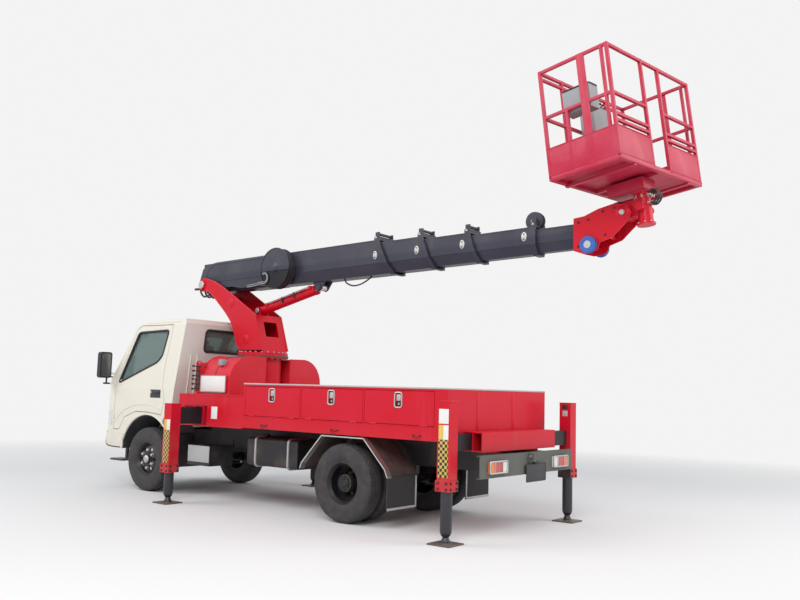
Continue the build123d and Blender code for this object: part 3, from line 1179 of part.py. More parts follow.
chassis_frame()
engine_block()
front_axle()
for word, hand in (("left", 1), ("right", -1)):
    knuckle(f"knuckle_{word}", hand)
track_rod()
rear_axle()
wheels()
cab()
front_trim()
lamps()
mirrors()
cab_interior()
bed_body()
locker_doors()
turret_platform()
rear_outrigger_housing()
outriggers()
fenders()
rear_bumper()
side_tanks()
machinery_hoods()
turret_column()
turret_pedestal()
lift_cylinder()
for place_in_nest in range(len(SECTIONS)):
    boom_section(place_in_nest)
boom_tail_cover()
boom_head()
cage_bracket()
cage_frame()
cage_controls()
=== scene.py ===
import math

import bmesh
import bpy
import numpy as np
from mathutils import Matrix, Vector


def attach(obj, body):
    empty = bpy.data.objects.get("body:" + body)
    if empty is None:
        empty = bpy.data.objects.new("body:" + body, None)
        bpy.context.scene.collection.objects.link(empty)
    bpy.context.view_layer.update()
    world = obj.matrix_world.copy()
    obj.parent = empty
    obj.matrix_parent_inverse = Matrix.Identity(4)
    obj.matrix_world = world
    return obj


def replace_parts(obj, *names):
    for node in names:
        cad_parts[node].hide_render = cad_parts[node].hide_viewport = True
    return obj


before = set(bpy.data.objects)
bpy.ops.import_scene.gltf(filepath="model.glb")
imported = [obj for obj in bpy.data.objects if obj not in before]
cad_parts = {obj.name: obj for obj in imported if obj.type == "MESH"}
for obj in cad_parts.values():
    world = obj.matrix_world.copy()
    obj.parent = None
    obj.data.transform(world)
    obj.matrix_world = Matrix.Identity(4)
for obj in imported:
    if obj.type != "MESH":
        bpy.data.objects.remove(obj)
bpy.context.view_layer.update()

# The finish and the fittings of a cherry picker truck, in metres, in the frame of its solids:
# +X towards the cab, +Y to the left, +Z up from the ground.
SIDES = (("left", 1), ("right", -1))
REAR_AXLE = -0.618
BOOM_PIVOT = (2.602, 2.668)
BOOM_TURN = math.radians(1.3)
REAR_BEAM_Y = 0.988

# Colours, as the surface reflects them
RED = (0.60, 0.0015, 0.016, 1)
RED_FADED = (0.61, 0.008, 0.034, 1)
CAGE_RED = (0.50, 0.020, 0.058, 1)
CREAM = (0.80, 0.76, 0.66, 1)
CREAM_FADED = (0.77, 0.73, 0.63, 1)
BOOM_GREY = (0.047, 0.047, 0.066, 1)
BOOM_DUSTY = (0.085, 0.085, 0.105, 1)
BLACK = (0.012, 0.012, 0.015, 1)
SOFT_BLACK = (0.026, 0.025, 0.03, 1)
DUST = (0.27, 0.22, 0.17, 1)
RUST = (0.13, 0.065, 0.035, 1)
BUMPER_GREY = (0.105, 0.112, 0.10, 1)
WHITE = (0.80, 0.80, 0.77, 1)
STEEL = (0.52, 0.52, 0.51, 1)
AMBER = (0.75, 0.17, 0.02, 1)
LAMP_RED = (0.50, 0.012, 0.018, 1)
ROLLER_BLUE = (0.025, 0.11, 0.42, 1)


# Finishes

def operator(word):
    """The method of a value that adds the Math node of one word."""
    return lambda value, *others: value.reckon(word, *others)


class Value:
    """A shader socket that stands in arithmetic: each operation adds its own Math node."""

    def __init__(self, nodes, socket):
        self.nodes = nodes
        self.socket = socket

    def reckon(self, word, *others):
        """Adds the Math node of one word, with this value as its first input."""
        return self.nodes.node("ShaderNodeMath", {"operation": word}, dict(enumerate((self,) + others)))

    def __rsub__(self, other):
        return self * -1 + other

    __add__ = __radd__ = operator("ADD")
    __sub__ = operator("SUBTRACT")
    __mul__ = __rmul__ = operator("MULTIPLY")
    __truediv__ = operator("DIVIDE")
    __abs__ = operator("ABSOLUTE")
    __gt__ = operator("GREATER_THAN")
    __lt__ = operator("LESS_THAN")

    def limited(self):
        """The same value kept between 0 and 1."""
        return self.reckon("MINIMUM", 1).reckon("MAXIMUM", 0)


class Nodes:
    """A tree of shader nodes."""

    def __init__(self, tree):
        self.tree = tree

    def node(self, kind, settings=None, inputs=None, output=0):
        """Adds a node: its settings come first, then the values or links of its sockets."""
        node = self.tree.nodes.new(kind)
        for word, value in (settings or {}).items():
            setattr(node, word, value)
        for word, value in (inputs or {}).items():
            self.feed(node.inputs[word], value)
        return Value(self, node.outputs[output])

    def feed(self, socket, value):
        """Links a value to a socket, or sets a constant on it."""
        if isinstance(value, Value):
            self.tree.links.new(value.socket, socket)
        else:
            socket.default_value = value


class Finish(Nodes):
    """A material in the making, whose constants go on the shader's own sockets."""

    def __init__(self, name, slot, **constants):
        self.slot = slot
        self.material = bpy.data.materials.new(name)
        self.material.use_nodes = True
        super().__init__(self.material.node_tree)
        self.shader = self.tree.nodes["Principled BSDF"]
        for word, value in constants.items():
            self.shader.inputs[word.replace("_", " ")].default_value = value
        self.place = self.node("ShaderNodeTexCoord", output=3)
        self.x, self.y, self.z = (self.node("ShaderNodeSeparateXYZ", None, {0: self.place}, axis)
                                  for axis in range(3))

    def vary(self, word, value):
        """Lets a value that changes over the surface drive one of the shader's sockets."""
        self.feed(self.shader.inputs[word], value)

    def noise(self, scale, detail=3, rough=0.55, stretch=(1, 1, 1)):
        """Clouds of the given number per metre, drawn out along an axis where its stretch is under 1."""
        spot = self.node("ShaderNodeVectorMath", {"operation": "MULTIPLY"}, {0: self.place, 1: stretch})
        return self.node("ShaderNodeTexNoise", None, {"Vector": spot, "Scale": scale, "Detail": detail,
                                                       "Roughness": rough})

    def blend(self, share, first, second):
        """One colour over another by a share from 0 to 1."""
        return self.node("ShaderNodeMix", {"data_type": "RGBA"}, {0: share, 6: first, 7: second}, 2)

    def relief(self, height, depth, strength=0.5):
        """Raises the surface by a height from 0 to 1, as deep as the depth in metres."""
        self.vary("Normal", self.node("ShaderNodeBump", None, {"Height": height, "Distance": depth,
                                                               "Strength": strength}))


def painted(name, slot, colour, faded, roughness=0.38, coat=0.12, dust=0.5, dust_top=1.0, other=None):
    """Sprayed paint: it fades in clouds, gathers dust low down, and other gives parts in another colour, which on the
    boom is painted shade and on the cab's rear wall painted light.
    """
    paint = Finish(name, slot, Coat_Weight=coat, Coat_Roughness=0.12, Specular_IOR_Level=0.24)
    clouds = paint.noise(2.1, 4)
    streaks = paint.noise(5, 3, stretch=(1, 1, 0.12))
    low = ((dust_top - paint.z) * 1.1).limited() * (paint.noise(7, 5) * 1.6 - 0.3).limited() * dust
    base = paint.blend(((clouds - 0.42) * 2.4).limited(), colour, faded)
    base = paint.blend(((streaks - 0.62) * 2).limited() * 0.35, base, DUST)
    # The other colour is real paint for most finishes, painted shade on the boom and painted light on the cab's rear
    # wall.
    if other:
        share, second = other(paint)
        base = paint.blend(share, base, second)
    paint.vary("Base Color", paint.blend(low, base, DUST))
    paint.vary("Roughness", low * 0.45 + clouds * 0.12 + roughness)
    paint.relief(paint.noise(420, 2), 0.0006, 0.25)
    return paint


def beam_inside(paint):
    """The part of an outrigger beam between the truck and its column, which is black, and longer in front."""
    return abs(paint.y) < (paint.x > 0) * 0.216 + REAR_BEAM_Y, (0.014, 0.014, 0.018, 1)


def off_bumper(paint):
    """All of the front trim above and below the bumper band, which is dark."""
    return 1 - (paint.z > 0.50) * (paint.z < 0.70), SOFT_BLACK


def boom_painted_shade(paint):
    """Painted shade: the lower part of the boom's sides darker and bluer with a soft level edge, where its canted faces
    turn from the light, and the lower half of the reel's drum painted near black for its shadow.
    """
    # Painted shade: below a level line in the boom's frame, its sides turn darker and bluer.
    height = ((paint.x - BOOM_PIVOT[0]) * math.sin(BOOM_TURN)
              + (paint.z - BOOM_PIVOT[1]) * math.cos(BOOM_TURN))
    # Painted shadow: the lower half of the reel's drum, near black.
    drum_painted_shadow = (paint.y > 0.2) * (height < 0.060)
    painted_shade_colour = paint.blend(drum_painted_shadow, (0.024, 0.026, 0.046, 1), (0.003, 0.003, 0.008, 1))
    return (((0.125 - height) * 25).limited() * 0.6 + drum_painted_shadow).limited(), painted_shade_colour


def cab_rear_wall_painted_light(paint):
    """Painted light: the leaning rear wall of the cab, a little cooler than the rest, its cream tinted to stand in for
    the light that falls on it.
    """
    return ((paint.z * -0.1224 + 2.410 - paint.x) * 120).limited() * 0.8, (0.72, 0.775, 0.73, 1)


def mirror_head(paint):
    """The mirrors' heads, dark on their pale arms."""
    return abs(paint.y) > 0.897, SOFT_BLACK


def greased_steel(name, slot, colour, roughness=0.5, rust=0.3):
    """Chassis black: brushed paint with dust in clouds and a little rust showing through."""
    steel = Finish(name, slot, Metallic=0.1)
    spots = ((steel.noise(16, 6, 0.7) - 0.60) * 9).limited() * rust
    film = ((steel.noise(4, 5) - 0.45) * 2.2).limited() * 0.35
    base = steel.blend(film, colour, DUST)
    steel.vary("Base Color", steel.blend(spots, base, RUST))
    steel.vary("Roughness", film * 0.4 + spots * 0.3 + roughness)
    steel.relief(steel.noise(160, 4), 0.0012, 0.35)
    return steel


def bare_metal(name, slot, colour=STEEL, roughness=0.3, grain=(1, 1, 60)):
    """Bright metal drawn out into fine lines across one axis, with duller finger marks."""
    metal = Finish(name, slot, Metallic=0.85)
    lines = metal.noise(90, 3, stretch=grain)
    marks = metal.noise(9, 4)
    metal.vary("Base Color", metal.blend((marks - 0.35).limited() * 0.6, colour, (0.30, 0.29, 0.27, 1)))
    metal.vary("Roughness", lines * 0.2 + marks * 0.15 + roughness)
    metal.relief(lines, 0.0003, 0.3)
    return metal


def rubber(name, slot, colour=SOFT_BLACK, dust=0.42, roughness=0.72):
    """Rubber with road dust worked into it, and a fine mat grain."""
    gum = Finish(name, slot)
    cloud = ((gum.noise(9, 6, 0.65) - 0.36) * 2.2).limited() * dust
    gum.vary("Base Color", gum.blend(cloud * 0.5, colour, DUST))
    gum.vary("Roughness", cloud * 0.18 + roughness)
    gum.relief(gum.noise(240, 4), 0.0012, 0.5)
    return gum


def plastic(name, slot, colour, roughness=0.45, grain=700):
    """Moulded plastic with a leathery grain and slightly rubbed patches."""
    mould = Finish(name, slot)
    rubbed = mould.noise(6, 4)
    lighter = tuple(min(1, c * 1.5 + 0.02) for c in colour[:3]) + (1,)
    mould.vary("Base Color", mould.blend(((rubbed - 0.5) * 2).limited() * 0.5, colour, lighter))
    mould.vary("Roughness", rubbed * 0.2 + roughness)
    mould.relief(mould.noise(grain, 3), 0.0005, 0.4)
    return mould


def window_glass():
    """Slightly green glass with rain marks, clear enough to show the seats."""
    pane = Finish("window_glass", "glass", Transmission_Weight=0.75, IOR=1.45, Specular_IOR_Level=0.6)
    marks = pane.noise(14, 5, stretch=(1, 1, 0.3))
    pane.vary("Base Color", pane.blend((marks - 0.4).limited(), (0.34, 0.45, 0.43, 1), (0.42, 0.47, 0.44, 1)))
    pane.vary("Roughness", marks * 0.12 + 0.02)
    return pane


def chequers(name, slot, across, upward, size, dark, light):
    """Reflective tape in two colours: squares of one size, counted along an axis and upwards."""
    tape = Finish(name, slot, Coat_Weight=0.4, Coat_Roughness=0.1)
    first = (getattr(tape, across) / size).reckon("FLOOR")
    second = (getattr(tape, upward) / size).reckon("FLOOR")
    odd = abs((first + second).reckon("MODULO", 2))
    worn = (tape.noise(40, 4) - 0.55).limited()
    tape.vary("Base Color", tape.blend(worn, tape.blend(odd, dark, light), DUST))
    tape.vary("Roughness", worn * 0.5 + 0.35)
    tape.relief(tape.node("ShaderNodeTexVoronoi", None, {"Vector": tape.place, "Scale": 420}), 0.0002, 0.3)
    return tape


def lamp_lenses():
    """Ribbed lamp covers: silver bowls in front, painted as bands of highlight and shade, and three colours across
    behind.
    """
    lens = Finish("lamp_lens", "lamp", Coat_Weight=0.9, Coat_Roughness=0.04)
    outward = abs(lens.y)
    behind = lens.blend(outward > 0.535, (0.75, 0.74, 0.72, 1), LAMP_RED)
    behind = lens.blend(outward > 0.665, behind, AMBER)
    # Painted highlight and shade: bright and dark bands across the front lens stand in for the silver reflector bowls
    # behind it.
    bowl_painted_sheen = (abs((lens.y * 14).reckon("SINE")) * 1.2).limited()
    ahead = lens.blend(bowl_painted_sheen, (0.45, 0.46, 0.48, 1), (0.86, 0.87, 0.88, 1))
    front = lens.x > 0
    lens.vary("Base Color", lens.blend(lens.noise(30, 3) * 0.15, lens.blend(front, behind, ahead), DUST))
    lens.vary("Metallic", front * bowl_painted_sheen * 0.4)
    lens.vary("Roughness", lens.noise(70) * 0.1 + 0.12)
    ribs = (lens.y * 620).reckon("SINE") * (lens.z * 620).reckon("SINE")
    lens.relief(ribs * 0.5 + 0.5, 0.0012, 0.5)
    return lens


def mudguard_finish():
    """Folded sheet, black and dusty inside, with the edge strip outside it left bright."""
    guard = Finish("mudguard", "bright_steel", Coat_Weight=0.0)
    bright = (abs(guard.y) > 0.8455) * (guard.z > 0.498)
    dirt = guard.noise(8, 6, 0.65)
    dark = guard.blend((dirt * 1.7 - 0.35).limited(), (0.028, 0.022, 0.022, 1), (0.13, 0.085, 0.075, 1))
    dark = guard.blend(guard.z < 0.52, dark, (0.036, 0.036, 0.038, 1))
    clean = guard.blend((dirt - 0.4).limited(), (0.60, 0.59, 0.57, 1), (0.40, 0.36, 0.32, 1))
    guard.vary("Base Color", guard.blend(bright, dark, clean))
    guard.vary("Metallic", bright * 0.85)
    guard.vary("Roughness", 0.75 - bright * 0.42 + dirt * 0.08)
    guard.relief(dirt, 0.001, 0.3)
    return guard


def leg_finish():
    """The legs' black, greased along the slide, and worn brown steel on the foot plate below it."""
    leg = Finish("leg_black", "dark_paint", Coat_Weight=0.2)
    foot = leg.z < 0.0165
    dirt = leg.noise(22, 6, 0.7)
    worn = leg.blend(dirt, (0.045, 0.033, 0.027, 1), (0.20, 0.15, 0.115, 1))
    leg.vary("Base Color", leg.blend(foot, leg.blend(dirt * 0.08, (0.010, 0.011, 0.020, 1), DUST), worn))
    leg.vary("Roughness", foot * 0.35 + dirt * 0.15 + 0.36)
    leg.relief(dirt, 0.001, 0.3)
    return leg


red = painted("red_paint", "red_paint", RED, RED_FADED)
# The hoods' red is lighter and pinker than the rest: painted sheen standing in for the sky reflected in their gloss.
hood_red_painted_sheen = painted("hood_red_painted_sheen", "red_paint", (0.64, 0.018, 0.036, 1), (0.67, 0.045, 0.066, 1), 0.42, 0.1)
cage_red = painted("cage_paint", "cage_paint", CAGE_RED, (0.56, 0.09, 0.13, 1), 0.48, 0.1, 0.0)
# The cab's rear wall gets a painted cool tint that stands in for the light on it.
cream = painted("cab_paint", "cream_paint", CREAM, CREAM_FADED, 0.34, 0.4, 0.25, 1.2, other=cab_rear_wall_painted_light)
beam_paint = painted("beam_paint", "red_paint", RED, RED_FADED, other=beam_inside)
trim_paint = painted("trim_paint", "cream_paint", CREAM, CREAM_FADED, 0.4, 0.2, other=off_bumper)
mirror_paint = painted("mirror_paint", "cream_paint", CREAM, CREAM_FADED, 0.4, 0.2, other=mirror_head)
# Its other colour is painted shade on the boom's lower sides and on the lower half of the reel's drum.
boom_paint = painted("boom_paint", "grey_paint", BOOM_GREY, BOOM_DUSTY, 0.42, 0.15, 0.0, other=boom_painted_shade)
chassis_black = greased_steel("chassis_black", "dark_paint", BLACK)
leg_black = leg_finish()
bumper_grey = painted("bumper_paint", "dark_paint", BUMPER_GREY, (0.135, 0.14, 0.125, 1), 0.5, 0.0, 0.3)
wheel_black = greased_steel("wheel_black", "rim_paint", (0.012, 0.012, 0.014, 1), 0.42, 0.25)
bright_steel = bare_metal("bright_steel", "bright_steel")
chrome_rod = bare_metal("chrome_rod", "bright_steel", (0.62, 0.62, 0.62, 1), 0.12, (60, 1, 1))
tyre_rubber = rubber("tyre_rubber", "tyre")
seal_rubber = rubber("seal_rubber", "interior", BLACK, 0.25, 0.6)
hose_rubber = rubber("hose_rubber", "interior", (0.014, 0.014, 0.016, 1), 0.35, 0.5)
dark_plastic = plastic("dark_plastic", "interior", (0.035, 0.036, 0.04, 1))
seat_cloth = plastic("seat_cloth", "interior", (0.10, 0.105, 0.115, 1), 0.8, 260)
grey_plastic = plastic("grey_plastic", "interior", (0.30, 0.31, 0.32, 1), 0.5)
white_sheet = plastic("white_sheet", "cream_paint", WHITE, 0.42, 300)
roller_blue = plastic("roller_blue", "roller", ROLLER_BLUE, 0.4, 200)
orange_knob = plastic("orange_knob", "red_paint", (0.70, 0.10, 0.03, 1), 0.35, 200)
glass = window_glass()
lamp_lens = lamp_lenses()
grey_sheet = plastic("grey_sheet", "interior", (0.46, 0.47, 0.46, 1), 0.5, 300)
ring_grey = greased_steel("ring_grey", "dark_paint", (0.10, 0.095, 0.09, 1), 0.45, 0.3)
mirror_silver = bare_metal("mirror_silver", "bright_steel", (0.20, 0.21, 0.22, 1), 0.06, (1, 1, 1))
sticker_yellow = plastic("sticker_yellow", "cream_paint", (0.72, 0.50, 0.10, 1), 0.4, 300)
mudguard = mudguard_finish()
tape = chequers("chequer_tape", "cream_paint", "x", "z", 0.0265, (0.008, 0.008, 0.008, 1), (0.62, 0.42, 0.07, 1))

# Which finish each kind of CAD node wears, by the start of its name
NODE_FINISHES = [
    (chassis_black, ("chassis_frame", "engine_block", "front_axle", "rear_axle", "knuckle", "track_rod", "side_tanks")),
    (wheel_black, ("front_rim", "rear_rims")), (tyre_rubber, ("front_tyre", "rear_tyres")),
    (cream, ("cab_shell", "cab_door")), (glass, ("cab_glass",)), (dark_plastic, ("cab_interior",)),
    (trim_paint, ("front_trim",)), (lamp_lens, ("lamps",)), (mirror_paint, ("mirrors",)),
    (red, ("bed_body", "locker_door", "turret", "rear_outrigger_housing", "lift_barrel", "boom_head", "cage_bracket")),
    (beam_paint, ("outrigger_beam",)), (leg_black, ("outrigger_leg",)), (mudguard, ("fenders",)),
    (bumper_grey, ("rear_bumper",)), (hood_red_painted_sheen, ("machinery_hoods",)), (chrome_rod, ("lift_rod",)),
    (boom_paint, ("boom_section", "boom_tail_cover")), (roller_blue, ("head_rollers",)),
    (cage_red, ("cage_frame",)), (grey_plastic, ("cage_controls",)),
]


def dress_nodes():
    """Gives every CAD node its finish in each of its material slots."""
    for name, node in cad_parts.items():
        finish = next(finish for finish, starts in NODE_FINISHES if name.startswith(starts))
        node.data.materials.clear()
        node.data.materials.append(finish.material)


# Surfaces

UP = {"x": (1, 0, 0), "y": (0, 1, 0), "z": (0, 0, 1)}


def at(x, y, z):
    """A point measured along the truck from the rear axle, put into the frame."""
    return np.array([x + REAR_AXLE, y, z])


def beside(spot, y):
    """A spot of the side view, its x measured from the rear axle, at a distance to the left."""
    return at(spot[0], y, spot[1])


def flat(axis, points, place):
    """Plane points laid square to an axis at a place along it, each x measured from the rear axle."""
    return np.insert(np.array(points, float), "xyz".index(axis), place, axis=1) + at(0, 0, 0)


def leaned(points, pivot, angle):
    """Points of a leaning frame, turned nose down by the angle about its origin, which is put at the pivot."""
    x, y, z = np.moveaxis(np.array(points, float), -1, 0)
    cos, sin = math.cos(angle), math.sin(angle)
    return np.stack([pivot[0] + x * cos + z * sin, y, pivot[1] - x * sin + z * cos], -1)


def skin(rings, ends=True):
    """A closed skin over a stack of rings, shape (rows, columns, 3): quads between neighbouring points, the last
    column joined to the first, and the two ends filled."""
    rows, columns = rings.shape[:2]
    row, column = np.arange(rows - 1)[:, None] * columns, np.arange(columns)[None]
    after = (column + 1) % columns
    corners = (row + column, row + after, row + columns + after, row + columns + column)
    faces = np.stack(np.broadcast_arrays(*corners), -1).reshape(-1, 4).tolist()
    if ends:
        faces += [list(range(columns)), list(range((rows - 1) * columns, rows * columns))]
    return rings.reshape(-1, 3), faces


def turned(profile, centre, side=1, steps=48, axis="y"):
    """A profile of (radius, place) pairs carried round an axis, its places counted to one side: the angle runs
    once round each radius."""
    radius, along = np.array(profile, float).T[..., None]
    angle = np.linspace(0, 2 * np.pi, steps, endpoint=False)
    order = [radius * np.cos(angle), radius * np.sin(angle)]
    order.insert("xyz".index(axis), along * side)
    return skin(np.stack(np.broadcast_arrays(*order), -1) + np.array(centre))


def button(high, top, radius, edge):
    """The profile of a low round cap: flat to the top's radius, then down to the edge, and upright below it."""
    return [(0, high), (top, high), (radius, edge), (radius, 0), (0, 0)]


def hexagons(spots, axis, radius, high, dome=0.0):
    """Hexagon nuts at a list of places: a six-sided profile with a chamfered head."""
    profile = [(0, 0), (radius, 0), (radius, high - radius * 0.25), (radius * 0.8, high), (0, high + dome)]
    return [turned(profile, spot, 1, 6, axis) for spot in spots]


def rounded_block(low, high, radius=0.004, steps=2):
    """A block whose edges are quarter rounds: rings of a rounded rectangle, drawn in near both ends."""
    low, high = np.minimum(low, high).astype(float), np.maximum(low, high).astype(float)
    radius = min(radius, 0.49 * (high - low).min())
    turn = np.linspace(0, np.pi / 2, steps + 1)
    angle = (np.arange(4)[:, None] * np.pi / 2 + turn[None]).reshape(-1)
    corner = np.repeat(np.array([[1, 1], [-1, 1], [-1, -1], [1, -1]]), steps + 1, axis=0)
    middle, half = (low + high) / 2, (high - low) / 2
    inset = np.concatenate([radius * np.sin(turn), radius * np.sin(turn)[::-1]])
    level = np.concatenate([low[2] + radius * (1 - np.cos(turn)), high[2] - radius * (1 - np.cos(turn))[::-1]])
    core = corner * (half[:2] - radius)
    ring = core[None] + np.stack([np.cos(angle), np.sin(angle)], -1)[None] * inset[:, None, None]
    plan = middle[:2] + ring
    return skin(np.concatenate([plan, np.broadcast_to(level[:, None, None], plan.shape[:2] + (1,))], -1))


def block(x0, x1, y0, y1, z0, z1, radius=0.004, steps=2):
    """A rounded block between two corners, its x measured from the rear axle."""
    return rounded_block(at(x0, y0, z0), at(x1, y1, z1), radius, steps)


def plate(outline, thick):
    """A flat plate: its outline in space, and the same outline moved by the thickness vector."""
    return skin(np.stack([outline, outline + np.array(thick, float)]))


def frames(path, up, closed):
    """Two unit vectors across a path at each of its points: beside it, and beside both it and that."""
    ahead = np.roll(path, -1, 0) - np.roll(path, 1, 0)
    if not closed:
        ahead[0], ahead[-1] = path[1] - path[0], path[-1] - path[-2]
    ahead /= np.linalg.norm(ahead, axis=1)[:, None]
    beside = np.cross(ahead, np.array(up, float))
    beside /= np.linalg.norm(beside, axis=1)[:, None]
    return beside, np.cross(beside, ahead)


def tube(path, radius, up="y", closed=False, sides=8, flatten=1.0):
    """A round section carried along a path; flatten squashes it along the up direction, an axis or a vector."""
    path = np.array(path, float)
    beside, over = frames(path, UP[up] if isinstance(up, str) else up, closed)
    angle = np.linspace(0, 2 * np.pi, sides, endpoint=False)
    ring = beside[:, None] * np.cos(angle)[None, :, None] + over[:, None] * np.sin(angle)[None, :, None] * flatten
    rings = path[:, None] + ring * radius
    if not closed:
        return skin(rings)
    return skin(np.concatenate([rings, rings[:1]]), ends=False)


def eased(points, count=60):
    """A smooth line through a few points: each run is a cubic whose slopes come from its neighbours."""
    points = np.array(points, float)
    padded = np.concatenate([2 * points[:1] - points[1:2], points, 2 * points[-1:] - points[-2:-1]])
    place = np.linspace(0, len(points) - 1, count)
    first = np.minimum(place.astype(int), len(points) - 2)
    t = (place - first)[:, None]
    a, b, c, d = (padded[first + k] for k in range(4))
    return 0.5 * (2 * b + (c - a) * t + (2 * a - 5 * b + 4 * c - d) * t ** 2 + (3 * b - a - 3 * c + d) * t ** 3)


def rectangle(u0, u1, v0, v1):
    """The corners of a plane rectangle."""
    return [(u0, v0), (u1, v0), (u1, v1), (u0, v1)]


def rounded_loop(corners, radius, steps=5):
    """A closed line through flat corners, each cut by a curve that starts a radius before it."""
    corners = np.array(corners, float)
    before, after = np.roll(corners, 1, 0) - corners, np.roll(corners, -1, 0) - corners
    start = corners + before / np.linalg.norm(before, axis=1)[:, None] * radius
    end = corners + after / np.linalg.norm(after, axis=1)[:, None] * radius
    t = np.linspace(0, 1, steps)[None, :, None]
    curve = start[:, None] * (1 - t) ** 2 + 2 * corners[:, None] * t * (1 - t) + end[:, None] * t ** 2
    return curve.reshape(-1, corners.shape[1])


def bar_loop(axis, place, corners, bend, thick, steps=5, flatten=1.0):
    """A closed frame of round bar, laid square to an axis: its corners are bent by a curve."""
    return tube(flat(axis, rounded_loop(corners, bend, steps), place), thick, axis, closed=True, flatten=flatten)


def circle(centre, radius, count):
    """A circle in side view about a centre."""
    turn = np.linspace(0, 2 * np.pi, count, endpoint=False)
    return np.array(centre) + np.stack([radius * np.cos(turn), np.zeros(count), radius * np.sin(turn)], -1)


def thing_of(name, data):
    """An object with its data, put into the scene."""
    thing = bpy.data.objects.new(name, data)
    bpy.context.collection.objects.link(thing)
    return thing


def piece(name, body, finish, *patches, sharp=32):
    """One mesh object from its patches, riding on a body, with outward faces and crisp edges over an angle."""
    points, faces, start = [], [], 0
    for patch_points, patch_faces in patches:
        points.append(patch_points)
        faces += [[start + index for index in face] for face in patch_faces]
        start += len(patch_points)
    mesh = bpy.data.meshes.new(name)
    mesh.from_pydata(np.concatenate(points).tolist(), [], faces)
    shape = bmesh.new()
    shape.from_mesh(mesh)
    bmesh.ops.remove_doubles(shape, verts=shape.verts, dist=1e-5)
    bmesh.ops.recalc_face_normals(shape, faces=shape.faces)
    shape.to_mesh(mesh)
    shape.free()
    mesh.polygons.foreach_set("use_smooth", [True] * len(mesh.polygons))
    mesh.set_sharp_from_angle(angle=math.radians(sharp))
    mesh.materials.append(finish.material)
    thing = thing_of(name, mesh)
    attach(thing, body)
    return thing


# Wheels

TYRE_SECTION = [(0.0825, 0.2126), (0.0925, 0.236), (0.1012, 0.275), (0.1024, 0.31), (0.0995, 0.343),
                (0.094, 0.366), (0.087, 0.382), (0.072, 0.391), (0.055, 0.3945), (0.0, 0.396)]
TREAD_GROOVES = (-0.056, -0.0195, 0.0195, 0.056)
GROOVE_DEPTH = 0.009
SLOT_DEPTH = 0.006
TREAD_PITCHES = 60
WHEEL_Z = 0.396
WHEELBASE = 3.385
AXLE_X = {"front": REAR_AXLE + WHEELBASE, "rear": REAR_AXLE}
FRONT_WHEEL_Y = 0.738
TWIN_Y = (0.5555, 0.7985)
STUD_CIRCLE = 0.111
FRONT_HUB = [(0, 0.018), (0.03, 0.016), (0.045, 0.008), (0.05, 0), (0.05, -0.01), (0, -0.01)]
REAR_HUB = [(0, 0.012), (0.036, 0.012), (0.042, 0.004), (0.042, -0.01), (0, -0.01)]


def tyre(x, y):
    """A tyre. Its section runs bead to bead over wall, shoulder and crown and goes round the wheel; the crown
    is lowered along four zigzag grooves and along slots that cross both shoulders at an even pitch."""
    half = np.array(TYRE_SECTION)
    across = np.concatenate([half * (-1, 1), half[-2::-1]])
    length = np.concatenate([[0], np.cumsum(np.linalg.norm(np.diff(across, axis=0), axis=1))])
    crown = length[[6, -7]]
    stops = np.concatenate([np.linspace(0, crown[0], 10, endpoint=False), np.linspace(*crown, 50, endpoint=False),
                            np.linspace(crown[1], length[-1], 11)])
    width, radius = (np.interp(stops, length, across[:, side]) for side in (0, 1))
    angle = np.linspace(0, 2 * np.pi, TREAD_PITCHES * 5 + 1)[:, None]
    wave = np.abs((angle * TREAD_PITCHES / (2 * np.pi)) % 1 - 0.5) * 4 - 1
    cut = np.zeros((len(angle), len(width)))
    for groove in TREAD_GROOVES:
        cut = np.maximum(cut, GROOVE_DEPTH * (np.abs(width - groove - 0.0035 * wave) < 0.0042))
    slots = (wave > 0.35) & (np.abs(width) > 0.064) & (radius > 0.372)
    cut = np.maximum(cut * (radius > 0.38), SLOT_DEPTH * slots)
    wall = 0.0016 * np.exp(-((radius - 0.345) / 0.003) ** 2) + 0.0016 * np.exp(-((radius - 0.245) / 0.004) ** 2)
    width = width + np.sign(width) * wall
    reach = radius - cut
    ring = np.stack([x + reach * np.cos(angle), np.broadcast_to(y + width, reach.shape),
                     WHEEL_Z + reach * np.sin(angle)], -1)
    return skin(ring, ends=False)


def wheel_nuts(x, face, side, radius, high):
    """Hexagon nuts with their studs on the bolt circle of one wheel disc, and a washer under each."""
    turn = np.arange(6) * np.pi / 3 + np.pi / 6
    spots = [(x + STUD_CIRCLE * math.cos(a), face, WHEEL_Z + STUD_CIRCLE * math.sin(a)) for a in turn]
    washer = [(0, 0), (radius + 0.004, 0), (radius + 0.003, 0.004), (0, 0.004)]
    return (hexagons(spots, "y", radius, side * high, side * 0.004)
            + [turned(washer, spot, side, 20) for spot in spots])


